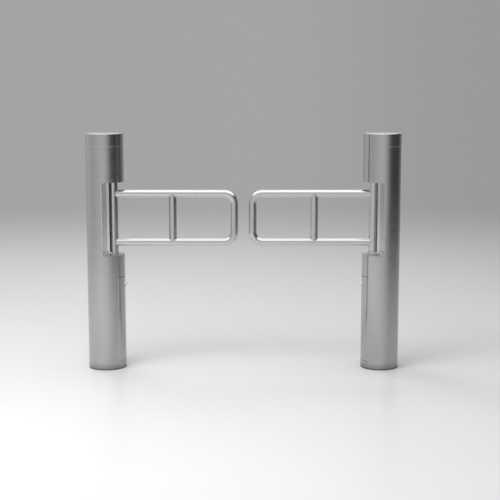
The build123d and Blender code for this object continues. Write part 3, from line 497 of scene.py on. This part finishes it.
def brushed_steel(name, colour, roughness, grain="along", lines=700.0, depth=0.000012,
                  dust_and_foot_shade=False):
    """Stainless ground across its length: fine rings, soft smudges, edges painted bright as
    highlight and wear.

    Near the floor it can be dusty, with painted shade darkening its foot, darkest in a line where
    it meets the floor."""
    material, recipe = new_finish(name)
    place = recipe.place()
    if grain == "along":
        run = recipe.add("ShaderNodeCombineXYZ", {}, {
            0: recipe.mark("along") * lines,
            1: recipe.part_of(place, "Y") * 9.0, 2: recipe.part_of(place, "X") * 9.0})
    else:
        run = recipe.stretched(place, grain)
    rings = recipe.noise(run, detail=3.0, roughness=0.7)
    bands = recipe.noise(recipe.stretched(run, (0.07, 0.6, 0.6)), detail=2.0)
    smudges = recipe.noise(place, scale=11.0, detail=4.0, roughness=0.6, distortion=0.4)
    worn = recipe.mark("worn")
    tone = 0.5 + (rings - 0.5) * 0.55 + (bands - 0.5) * 0.5 + (smudges - 0.5) * 0.35
    gloss = (roughness + (rings - 0.5) * 0.07 + (bands - 0.5) * 0.05
             + smudges.above(0.58, 0.10) * 0.035 - worn * 0.05)
    if dust_and_foot_shade:
        height = recipe.part_of(place, "Z")
        # painted shade: a band darkening towards the floor and a darkest line at the foot, standing
        # in for contact shadow
        low, contact_shade = 1.0 - height.above(0.018, 0.018), 1.0 - height.above(0.0045, 0.0035)
        dust = low * smudges.above(0.45, 0.20)
        tone, gloss = tone - dust * 0.5, gloss + dust * 0.16
    metal = recipe.blend(tone, shade(colour, 0.93), shade(colour, 1.07))
    # painted contact shadow at the post's foot
    if dust_and_foot_shade:
        metal = recipe.blend(low * 0.42 + contact_shade * 0.53, metal, shade(colour, 0.2))
    # painted light: up-facing flat tops are painted paler, as if lit from above; their extra
    # roughness is real
    flat = recipe.mark("flat")
    metal = recipe.blend(flat * 0.8, metal, LIT_TOP_STEEL)
    # painted highlight: the rounded edge strips are painted near white, partly as wear
    recipe.surface(Base_Color=recipe.blend(worn * 0.9, metal, EDGE_WEAR_AND_HIGHLIGHT),
                   Metallic=1.0, Roughness=gloss + flat * 0.24,
                   Normal=recipe.bump(rings + bands * 0.6, depth))
    return material


def plated(name, colour, roughness, crystal=26.0):
    """Zinc or nickel plating: faint crystals, cloudy gloss."""
    material, recipe = new_finish(name)
    place = recipe.place()
    flakes = recipe.add("ShaderNodeTexVoronoi", {"feature": "F1"},
                        {"Vector": place, "Scale": crystal}, output="Color")
    cloud = recipe.noise(place, scale=crystal * 0.8, detail=4.0)
    fleck = recipe.part_of(flakes, "X")
    recipe.surface(
        Base_Color=recipe.blend(fleck * 0.6 + cloud * 0.4,
                                shade(colour, 0.82), shade(colour, 1.15)),
        Metallic=1.0, Roughness=roughness + (fleck - 0.5) * 0.14 + (cloud - 0.5) * 0.12,
        Normal=recipe.bump(recipe.noise(place, scale=900.0, detail=2.0), 0.00002))
    return material


def turned(name, colour, roughness):
    """Machined steel: close tool rings."""
    return brushed_steel(name, colour, roughness, grain=(25.0, 25.0, 1500.0), depth=0.00002)


def moulded(name, colour, roughness, grain=1800.0, relief=0.00003, coat=0.0):
    """Plastic, rubber or paint: fine grain, cloudy gloss, paler rubbed patches."""
    material, recipe = new_finish(name)
    place = recipe.place()
    cloud = recipe.noise(place, scale=30.0, detail=4.0)
    pits = recipe.noise(place, scale=grain, detail=2.0)
    recipe.surface(
        Base_Color=recipe.blend(cloud.above(0.52, 0.18), shade(colour, 0.85), shade(colour, 1.2)),
        Roughness=roughness + (cloud - 0.5) * 0.18, Coat_Weight=coat,
        Normal=recipe.bump(pits, relief))
    return material


def circuit(name):
    """A lacquered board with copper tracks under the lacquer."""
    material, recipe = new_finish(name)
    place = recipe.place()
    grid = recipe.add("ShaderNodeTexBrick", {}, {
        "Vector": recipe.add("ShaderNodeCombineXYZ", {}, {
            0: recipe.part_of(place, "Y"), 1: recipe.part_of(place, "Z")}),
        "Scale": 120.0, "Mortar Size": 0.03, "Mortar Smooth": 0.2,
        "Color1": (0, 0, 0, 1), "Color2": (0.3, 0.3, 0.3, 1), "Mortar": (1, 1, 1, 1)})
    tracks = recipe.part_of(grid, "X").above(0.6, 0.2)
    cloud = recipe.noise(place, scale=60.0, detail=3.0)
    green = recipe.blend(cloud, (0.008, 0.055, 0.022), (0.014, 0.085, 0.036))
    recipe.surface(Base_Color=recipe.blend(tracks * 0.7, green, (0.05, 0.19, 0.08)),
                   Roughness=0.32 + (cloud - 0.5) * 0.2, Coat_Weight=0.4,
                   Normal=recipe.bump(tracks, 0.00004))
    return material


FINISHES = {}


def make_finishes():
    """Every finish of the object, by the name of its slot."""
    chosen = bpy.context.scene.turnstile_finishes
    post, arm = tuple(chosen.post_steel), tuple(chosen.arm_steel)
    FINISHES.update({
        "satin_steel": brushed_steel("satin_steel_finish", post, chosen.post_roughness,
                                     dust_and_foot_shade=True),
        "arm_steel": brushed_steel("arm_steel_finish", arm, chosen.arm_roughness, lines=900.0,
                                   depth=0.000008),
        "polished_steel": brushed_steel("polished_steel_finish", shade(arm, 1.1), 0.10,
                                        grain=(40.0, 40.0, 1200.0), depth=0.000006),
        "zinc_plate": plated("zinc_plate_finish", (0.50, 0.51, 0.52), 0.38),
        "machined_steel": turned("machined_steel_finish", (0.46, 0.46, 0.47), 0.30),
        "bearing_steel": turned("bearing_steel_finish", (0.58, 0.58, 0.59), 0.16),
        "screw_steel": plated("screw_steel_finish", (0.55, 0.55, 0.55), 0.28, crystal=300.0),
        "lock_chrome": brushed_steel("lock_chrome_finish", (0.72, 0.72, 0.73), 0.09,
                                     grain=(900.0, 30.0, 30.0), depth=0.000005),
        "motor_paint": moulded("motor_paint_finish", (0.045, 0.047, 0.050), 0.42, grain=500.0,
                               relief=0.00006, coat=0.15),
        "encoder_black": moulded("encoder_black_finish", (0.018, 0.018, 0.019), 0.35),
        "black_plastic": moulded("black_plastic_finish", (0.022, 0.022, 0.024), 0.48),
        "circuit_board": circuit("circuit_board_finish"),
        "supply_cage": plated("supply_cage_finish", (0.60, 0.61, 0.62), 0.34, crystal=120.0),
        "terminal_grey": moulded("terminal_grey_finish", (0.30, 0.31, 0.31), 0.50),
        "stop_rubber": moulded("stop_rubber_finish", (0.016, 0.016, 0.016), 0.72, grain=900.0,
                               relief=0.00008),
    })


class TURNSTILE_OT_finishes(bpy.types.Operator):
    """Makes every finish and puts it on the frame's own parts"""
    bl_idname = "turnstile.finishes"
    bl_label = "Finishes"

    def execute(self, context):
        make_finishes()
        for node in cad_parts.values():
            for slot in node.material_slots:
                slot.material = FINISHES[slot.material.name]
        return {"FINISHED"}


# ---------------------------------------------------------------- posts
def notch_block(name, inset):
    """The solid of the notch, inset from the liner's outside, with its two folds rounded."""
    sizes = bpy.context.scene.turnstile_post
    low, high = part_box("notch_liner_left")
    solid = block(name, (low.x + inset, low.y - OVERSHOOT, low.z + inset),
                  (high.x + 2 * OVERSHOOT, high.y + OVERSHOOT, high.z - inset))
    with editing(solid):
        pick(solid, "EDGE", lambda edge: middle(edge).x < low.x + inset + TOUCHING
             and abs(edge.verts[0].co.y - edge.verts[1].co.y) > OVERSHOOT)
        bpy.ops.mesh.bevel(offset=sizes.notch_corner - inset, segments=8, affect="EDGES")
    return solid


def door_block(name, side_gap, low, high):
    """The part of the post that the door takes, less a gap at its sides."""
    half = bpy.context.scene.turnstile_post.door_half - side_gap
    x, radius = post_axis()
    return block(name, (x, -half, low), (x + radius + OVERSHOOT, half, high))


class TURNSTILE_OT_post_tubes(bpy.types.Operator):
    """Cuts the notch, the door opening and the screw holes into each post's tube"""
    bl_idname = "turnstile.post_tubes"
    bl_label = "Post tubes"

    def execute(self, context):
        sizes = context.scene.turnstile_post
        x, radius = post_axis()
        low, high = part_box("post_tube_left")
        shell = upright_tube("post_tube", x, radius, sizes.wall, low.z, high.z, sizes.sides)
        combined(shell, notch_block("notch", 0.0),
                 door_block("door", 0.0, sizes.door_sill, sizes.door_head))

        def screw_seats(tube, side):
            combined(tube, *lid_screw_seats(side))
            soften(tube, sizes.softness)
            round_shading(tube, post_axis(side)[0])
            measured(tube, lambda point: point.z)

        on_both_posts(shell, "post_shell", "posts", ["post_tube"],
                      FINISHES["satin_steel"], screw_seats)
        return {"FINISHED"}


class TURNSTILE_OT_notch_liners(bpy.types.Operator):
    """Folds the sheet that closes each notch: shelf, back wall and ceiling"""
    bl_idname = "turnstile.notch_liners"
    bl_label = "Notch liners"

    def execute(self, context):
        sizes = context.scene.turnstile_post
        x, radius = post_axis()
        low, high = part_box("notch_liner_left")
        sheet = notch_block("notch_liner", 0.0)
        combined(sheet, notch_block("notch_room", sizes.liner))
        bottom, top = low.z - OVERSHOOT, high.z + OVERSHOOT
        combined(sheet, rod("outline", radius, (x, 0, bottom), (x, 0, top), sizes.sides),
                 how="INTERSECT")
        combined(sheet, rod("shaft_hole", SHAFT_HOLE, (hinge_axis(), 0, bottom),
                            (hinge_axis(), 0, top), HOLE_SIDES))
        soften(sheet, sizes.lip)
        round_shading(sheet, x)
        mark_flat_tops(sheet)
        measured(sheet, lambda point: point.y)
        on_both_posts(sheet, "notch_sheet", "posts", ["notch_liner"],
                      FINISHES["satin_steel"])
        return {"FINISHED"}


class TURNSTILE_OT_lids(bpy.types.Operator):
    """Shapes the lid that closes the top of each post"""
    bl_idname = "turnstile.lids"
    bl_label = "Lids"

    def execute(self, context):
        sizes = context.scene.turnstile_post
        x, radius = post_axis()
        low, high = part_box("top_lid_left")
        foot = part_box("post_tube_left")[1].z + LID_SEAM
        lid = rod("top_lid", radius, (x, 0, foot), (x, 0, high.z), sizes.sides)
        with editing(lid):
            pick(lid, "EDGE",
                 lambda edge: min(point.co.z for point in edge.verts) > high.z - TOUCHING)
            bpy.ops.mesh.bevel(offset=LID_EDGE, segments=5, affect="EDGES")
            pick(lid, "FACE", lambda face: face.normal.z < -0.9)
            bpy.ops.mesh.inset(thickness=sizes.wall + LID_GAP)
            pushed(z=low.z - foot)
            bpy.ops.mesh.inset(thickness=sizes.wall)
            pushed(z=high.z - LID_TOP - low.z)
        soften(lid, sizes.softness, angle=60.0)
        round_shading(lid, x)
        mark_flat_tops(lid)
        measured(lid, lambda point: point.z + Vector((point.x - x, point.y)).length)
        on_both_posts(lid, "post_lid", "posts", ["top_lid"],
                      FINISHES["satin_steel"])
        return {"FINISHED"}


class TURNSTILE_OT_doors(bpy.types.Operator):
    """Cuts the curved service door of each post, with its lock hole and its two tongues"""
    bl_idname = "turnstile.doors"
    bl_label = "Doors"

    def execute(self, context):
        sizes = context.scene.turnstile_post
        x, radius = post_axis()
        low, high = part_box("door_panel_left")
        lock_low, lock_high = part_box("lock_barrel_left")
        level = (lock_low.z + lock_high.z) / 2
        panel = upright_tube("door_panel", x, radius, sizes.wall, sizes.door_foot - OVERSHOOT,
                             high.z + OVERSHOOT, sizes.sides)
        gap = sizes.door_half - high.y
        combined(panel, door_block("door_outline", gap, sizes.door_foot, high.z), how="INTERSECT")
        lap = sizes.door_foot + TONGUE_LAP
        for side in (-1, 1):
            front, back = sorted(side * edge for edge in TONGUE_SPAN)
            tongue = block("tongue", (low.x, front, low.z), (low.x + TONGUE_SHEET, back, lap))
            with editing(tongue):
                pick(tongue, "EDGE", lambda edge: middle(edge).z < low.z + TOUCHING
                     and abs(edge.verts[0].co.x - edge.verts[1].co.x) > TONGUE_SHEET / 2)
                bpy.ops.mesh.bevel(offset=TONGUE_CORNER, segments=4, affect="EDGES")
            pad = block("tongue_pad",
                        (low.x + TONGUE_SHEET / 2, front, sizes.door_foot + PAD_INSET),
                        (x + radius, back, lap - PAD_INSET))
            combined(pad, rod("inside", radius - sizes.wall + PAD_REACH, (x, 0, low.z),
                              (x, 0, high.z), sizes.sides), how="INTERSECT")
            combined(panel, tongue, pad, how="UNION")
        combined(panel, rod("lock_hole", LOCK_HOLE, (x + radius - OVERSHOOT, 0, level),
                            (x + radius + OVERSHOOT, 0, level), HOLE_SIDES))
        soften(panel, sizes.softness)
        round_shading(panel, x)
        measured(panel, lambda point: point.z)
        on_both_posts(panel, "service_door", "{side}_door", ["door_panel"],
                      FINISHES["satin_steel"])
        return {"FINISHED"}


class TURNSTILE_OT_locks(bpy.types.Operator):
    """Turns the chromed barrel of each door lock"""
    bl_idname = "turnstile.locks"
    bl_label = "Locks"

    def execute(self, context):
        sizes = context.scene.turnstile_lock
        x, radius = post_axis()
        low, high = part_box("lock_barrel_left")
        level, bezel = (low.z + high.z) / 2, (high.z - low.z) / 2
        barrel = rod("lock_barrel", bezel, (x + radius, 0, level), (high.x, 0, level), 64)
        with editing(barrel):
            pick(barrel, "EDGE",
                 lambda edge: min(point.co.x for point in edge.verts) > high.x - TOUCHING)
            bpy.ops.mesh.bevel(offset=sizes.bezel_chamfer, segments=1, affect="EDGES")
            pick(barrel, "FACE", lambda face: face.normal.x < -0.9)
            bpy.ops.mesh.inset(thickness=bezel - sizes.body)
            pushed(x=low.x - x - radius)
        combined(barrel, rod("plug_bore", sizes.bore, (low.x - OVERSHOOT, 0, level),
                             (high.x + OVERSHOOT, 0, level), HOLE_SIDES))
        soften(barrel, FINE_EDGE, angle=30.0)
        on_both_posts(barrel, "lock_bezel", "{side}_door", ["lock_barrel"],
                      FINISHES["lock_chrome"])
        return {"FINISHED"}


# ---------------------------------------------------------------- arms
class TURNSTILE_OT_hinges(bpy.types.Operator):
    """Makes each arm's hinge tube and the collar that it stands over"""
    bl_idname = "turnstile.hinges"
    bl_label = "Hinge tubes and collars"

    def execute(self, context):
        sizes = context.scene.turnstile_arm
        low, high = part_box("hinge_tube_left")
        x, radius = hinge_axis(), (high.x - low.x) / 2
        tube = upright_tube("hinge_tube", x, radius, sizes.hinge_wall, low.z, high.z,
                            HINGE_SIDES)
        soften(tube, HINGE_EDGE)
        measured(tube, lambda point: point.z)
        on_both_posts(tube, "hinge_post", "{side}_arm", ["hinge_tube"],
                      FINISHES["arm_steel"])
        low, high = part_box("hinge_collar_left")
        radius = (high.x - low.x) / 2
        collar = upright_tube("collar", x, radius, radius - sizes.collar_bore, low.z, high.z,
                              HINGE_SIDES)
        top = Vector((x, 0, high.z))
        with editing(collar):
            pick(collar, "EDGE", lambda edge: all(
                point.co.z > top.z - TOUCHING and (point.co - top).length > radius - 10 * TOUCHING
                for point in edge.verts))
            bpy.ops.mesh.bevel(offset=sizes.collar_chamfer, segments=3, affect="EDGES")
        soften(collar, FINE_EDGE)
        on_both_posts(collar, "shaft_collar", "posts", ["hinge_collar"],
                      FINISHES["polished_steel"])
        return {"FINISHED"}


class TURNSTILE_OT_arm_loops(bpy.types.Operator):
    """Bends each arm's tube from one rail round to the other and copes its ends"""
    bl_idname = "turnstile.arm_loops"
    bl_label = "Arm loops"

    def execute(self, context):
        sizes = context.scene.turnstile_arm
        radius, lower, upper = rail_heights()
        start = hinge_axis()
        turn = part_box("arm_loop_left")[1].x - radius - sizes.bend
        loop = added("arm_loop", bpy.ops.mesh.primitive_circle_add, vertices=sizes.sides,
                     radius=radius, fill_type="NGON", location=(start, 0, lower),
                     rotation=(0, QUARTER, 0))
        with editing(loop):
            pick(loop, "FACE", lambda face: True)
            pushed(x=turn - start)
            bpy.ops.mesh.spin(steps=BEND_STEPS, angle=QUARTER, axis=(0, 1, 0),
                              center=(turn, 0, lower + sizes.bend))
            pushed(z=upper - lower - 2 * sizes.bend)
            bpy.ops.mesh.spin(steps=BEND_STEPS, angle=QUARTER, axis=(0, 1, 0),
                              center=(turn, 0, upper - sizes.bend))
            pushed(x=start - turn)
            bpy.ops.mesh.select_all(action="SELECT")
            bpy.ops.mesh.remove_doubles(threshold=1e-6)
            bpy.ops.mesh.normals_make_consistent(inside=False)
        low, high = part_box("hinge_tube_left")
        combined(loop, rod("cope", (high.x - low.x) / 2 - COPE_LAP, (start, 0, low.z),
                           (start, 0, high.z), HINGE_SIDES))

        def along(point):
            """Distance round the loop's middle line."""
            corner_z = lower + sizes.bend if point.z < (lower + upper) / 2 else upper - sizes.bend
            out, up = point.x - turn, abs(point.z - corner_z)
            half_bar = (upper - lower) / 2 - sizes.bend
            past = abs(point.z - (lower + upper) / 2) - half_bar
            if out < 0:
                run = half_bar + QUARTER * sizes.bend - out
            elif past > 0:
                run = half_bar + atan2(up, out) * sizes.bend
            else:
                run = half_bar + past
            return run if point.z > (lower + upper) / 2 else -run

        alone(loop)
        bpy.ops.object.shade_smooth_by_angle(angle=SMOOTH_BELOW)
        measured(loop, along)
        on_both_posts(loop, "gate_loop", "{side}_arm", ["arm_loop"],
                      FINISHES["arm_steel"])
        return {"FINISHED"}


class TURNSTILE_OT_middle_bars(bpy.types.Operator):
    """Copes each arm's short upright bar between its rails"""
    bl_idname = "turnstile.middle_bars"
    bl_label = "Middle bars"

    def execute(self, context):
        sizes = context.scene.turnstile_arm
        radius, lower, upper = rail_heights()
        low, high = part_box("arm_mid_bar_left")
        x = (low.x + high.x) / 2
        bar = rod("mid_bar", (high.x - low.x) / 2, (x, 0, low.z), (x, 0, high.z), sizes.sides)
        for level in (lower, upper):
            combined(bar, rod("rail", radius - BAR_LAP, (low.x - 2 * radius, 0, level),
                              (high.x + 2 * radius, 0, level), sizes.sides))
        alone(bar)
        bpy.ops.object.shade_smooth_by_angle(angle=SMOOTH_BELOW)
        measured(bar, lambda point: point.z)
        on_both_posts(bar, "gate_bar", "{side}_arm", ["arm_mid_bar"],
                      FINISHES["arm_steel"])
        return {"FINISHED"}


def weld_bead(name, centre, radius, size, lift, across):
    """A bead round a joint: a ring whose points are lifted onto the other tube, then thickened."""
    ring = added(name, bpy.ops.mesh.primitive_circle_add, vertices=BEAD_POINTS, radius=radius,
                 location=centre, rotation=across)
    with editing(ring):
        for step in range(BEAD_POINTS):
            pick(ring, "VERT", lambda point: point.index == step)
            net = bmesh.from_edit_mesh(ring.data)
            net.verts.ensure_lookup_table()
            bpy.ops.transform.translate(value=lift(net.verts[step].co))
    alone(ring)
    bpy.ops.object.convert(target="CURVE")
    for spline in ring.data.splines:
        for count, point in enumerate(spline.points):
            point.radius = 1.0 if count % 2 else BEAD_RIPPLE
    ring.data.bevel_depth, ring.data.bevel_resolution = size, 3
    bpy.ops.object.convert(target="MESH")
    bpy.ops.object.shade_smooth()
    return ring


class TURNSTILE_OT_welds(bpy.types.Operator):
    """Lays the weld beads where each arm's tubes meet"""
    bl_idname = "turnstile.welds"
    bl_label = "Weld beads"

    def execute(self, context):
        sizes = context.scene.turnstile_arm
        radius, lower, upper = rail_heights()
        low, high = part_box("hinge_tube_left")
        hinge, reach = hinge_axis(), (high.x - low.x) / 2
        low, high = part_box("arm_mid_bar_left")
        x = (low.x + high.x) / 2
        beads = []
        for level, up in ((lower, 1), (upper, -1)):
            beads.append(weld_bead(
                "rail_bead", (hinge, 0, level), radius, sizes.weld,
                lambda point: (sqrt(reach ** 2 - point.y ** 2), 0, 0), (0, QUARTER, 0)))
            beads.append(weld_bead(
                "bar_bead", (x, 0, level), radius, sizes.weld,
                lambda point, up=up: (0, 0, up * abs(point.x - x)), (0, 0, 0)))
        alone(*beads)
        bpy.ops.object.join()
        welds = bpy.context.object
        measured(welds, lambda point: point.z)
        on_both_posts(welds, "weld_beads", "{side}_arm", [], FINISHES["arm_steel"])
        return {"FINISHED"}


# ---------------------------------------------------------------- stage
# Brightness of the room round the object: part of a whole turn from straight behind it, over
# its left side, its front (0.5) and its right side, back to behind it.
ROOM = ((0.000, 0.375), (0.033, 0.368), (0.110, 0.590), (0.195, 0.740), (0.280, 0.670),
        (0.330, 0.650), (0.390, 0.740), (0.470, 0.830), (0.517, 0.790), (0.556, 0.640),
        (0.585, 0.440), (0.612, 0.260), (0.640, 0.120), (0.694, 0.080), (0.790, 0.085),
        (0.830, 0.150), (0.870, 0.280), (0.930, 0.350), (0.967, 0.325), (1.000, 0.375))
# Brightness of the ceiling, over the camera and over the rest of the room.
FRONT_SKY, BACK_SKY = (0.70,) * 3, (2.05,) * 3
# The lamps' size, and their names, places and settings of power.
LAMP_SIZE = (3.0, 1.6)
LAMPS = (("softbox", (-1.7, -1.6, 3.0), "lamp"), ("back_light", (-2.6, 3.4, 5.6), "back_lamp"))
FLOOR_SIDES = 96


class TURNSTILE_OT_stage(bpy.types.Operator):
    """Lays the pale floor, lights the room and sets up the camera"""
    bl_idname = "turnstile.stage"
    bl_label = "Stage"

    def execute(self, context):
        studio = context.scene.turnstile_studio
        self.lay_floor(studio)
        self.light_room(context.scene)
        self.hang_lamps(studio)
        bpy.ops.object.select_all(action="DESELECT")
        bpy.ops.object.camera_add(location=studio.eye, rotation=(studio.tilt, 0, 0))
        camera = bpy.context.object
        camera.name = "camera"
        camera.data.lens = studio.lens
        camera.data.sensor_width = 36.0
        context.scene.camera = camera
        context.scene.view_settings.view_transform = "Standard"
        return {"FINISHED"}

    def lay_floor(self, studio):
        """A round pale floor that fades into the room at its rim."""
        floor = added("floor", bpy.ops.mesh.primitive_circle_add, vertices=FLOOR_SIDES,
                      radius=studio.floor_radius, fill_type="NGON", location=(0, 0, 0))
        with editing(floor):
            pick(floor, "FACE", lambda face: True)
            bpy.ops.mesh.inset(thickness=studio.floor_radius * 0.5)
        material, recipe = new_finish("floor_finish")
        place = recipe.place()
        away = recipe.add("ShaderNodeVectorMath", {"operation": "LENGTH"}, {0: place},
                          output="Value")
        cloud = recipe.noise(place, scale=1.3, detail=3.0)
        tone = studio.floor_tone
        recipe.surface(
            Base_Color=recipe.blend(cloud, shade((tone,) * 3, 0.985), shade((tone,) * 3, 1.015)),
            Roughness=0.30 + (cloud - 0.5) * 0.04, Specular_IOR_Level=0.45,
            Alpha=1.0 - away.above(studio.floor_radius * 0.52, studio.floor_radius * 0.36))
        floor.data.materials.append(material)

    def light_room(self, scene):
        """Lights from all round: walls by their direction, under a ceiling dimmed overhead."""
        room = bpy.data.worlds.new("room")
        scene.world = room
        room.use_nodes = True
        recipe = Recipe(room.node_tree)
        way = recipe.add("ShaderNodeTexCoord", output="Generated")
        turn = recipe.add("ShaderNodeMath", {"operation": "ARCTAN2"}, {
            0: recipe.part_of(way, "X"), 1: recipe.part_of(way, "Y") * -1.0})
        walls = recipe.add("ShaderNodeValToRGB", {"stops": ROOM},
                           {0: turn * (0.5 / pi) + 0.5})
        back, up = recipe.part_of(way, "Y"), recipe.part_of(way, "Z")
        dimmed = up.above(0.80, 0.08) * back.above(0.30, 0.15) * 0.6
        sky = recipe.blend(back.above(-0.72, 0.15) * (1.0 - dimmed), FRONT_SKY, BACK_SKY)
        glow = recipe.blend(up.above(0.60, 0.12), walls, sky)
        light = recipe.add("ShaderNodeBackground", {}, {"Color": glow, "Strength": 1.0})
        recipe.add("ShaderNodeOutputWorld", {}, {"Surface": light})

    def hang_lamps(self, studio):
        """Hangs the large soft lamps, level, and keeps them out of the steel's reflections."""
        for name, place, power in LAMPS:
            bpy.ops.object.select_all(action="DESELECT")
            bpy.ops.object.light_add(type="AREA", location=place, rotation=(0, 0, 0))
            box = bpy.context.object
            box.name = name
            box.data.shape = "RECTANGLE"
            box.data.size, box.data.size_y = LAMP_SIZE
            box.data.energy = getattr(studio, power)
            box.visible_glossy = False


# ---------------------------------------------------------------- panel and run
STEPS = (TURNSTILE_OT_finishes, TURNSTILE_OT_post_tubes, TURNSTILE_OT_notch_liners,
         TURNSTILE_OT_lids, TURNSTILE_OT_doors, TURNSTILE_OT_locks, TURNSTILE_OT_hinges,
         TURNSTILE_OT_arm_loops, TURNSTILE_OT_middle_bars, TURNSTILE_OT_welds,
         TURNSTILE_OT_stage)


class TURNSTILE_PT_panel(bpy.types.Panel):
    """The sizes of the turnstile and one button for each of its pieces"""
    bl_idname = "TURNSTILE_PT_panel"
    bl_label = "Turnstile"
    bl_space_type = "VIEW_3D"
    bl_region_type = "UI"
    bl_category = "Turnstile"

    def draw(self, context):
        for name, group in GROUPS.items():
            box = self.layout.box()
            for setting in group.__annotations__:
                box.prop(getattr(context.scene, name), setting)
        for step in STEPS:
            self.layout.operator(step.bl_idname)


GROUPS = {"turnstile_post": PostSizes, "turnstile_arm": ArmSizes, "turnstile_lock": LockSizes,
          "turnstile_finishes": Finishes, "turnstile_studio": Studio}
CLASSES = (*GROUPS.values(), *STEPS, TURNSTILE_PT_panel)


def register():
    for one in CLASSES:
        bpy.utils.register_class(one)
    for name, group in GROUPS.items():
        setattr(bpy.types.Scene, name, PointerProperty(type=group))


def unregister():
    for name in GROUPS:
        delattr(bpy.types.Scene, name)
    for one in reversed(CLASSES):
        bpy.utils.unregister_class(one)


def main():
    register()
    for step in STEPS:
        family, name = step.bl_idname.split(".")
        getattr(getattr(bpy.ops, family), name)()


if __name__ == "__main__":
    main()
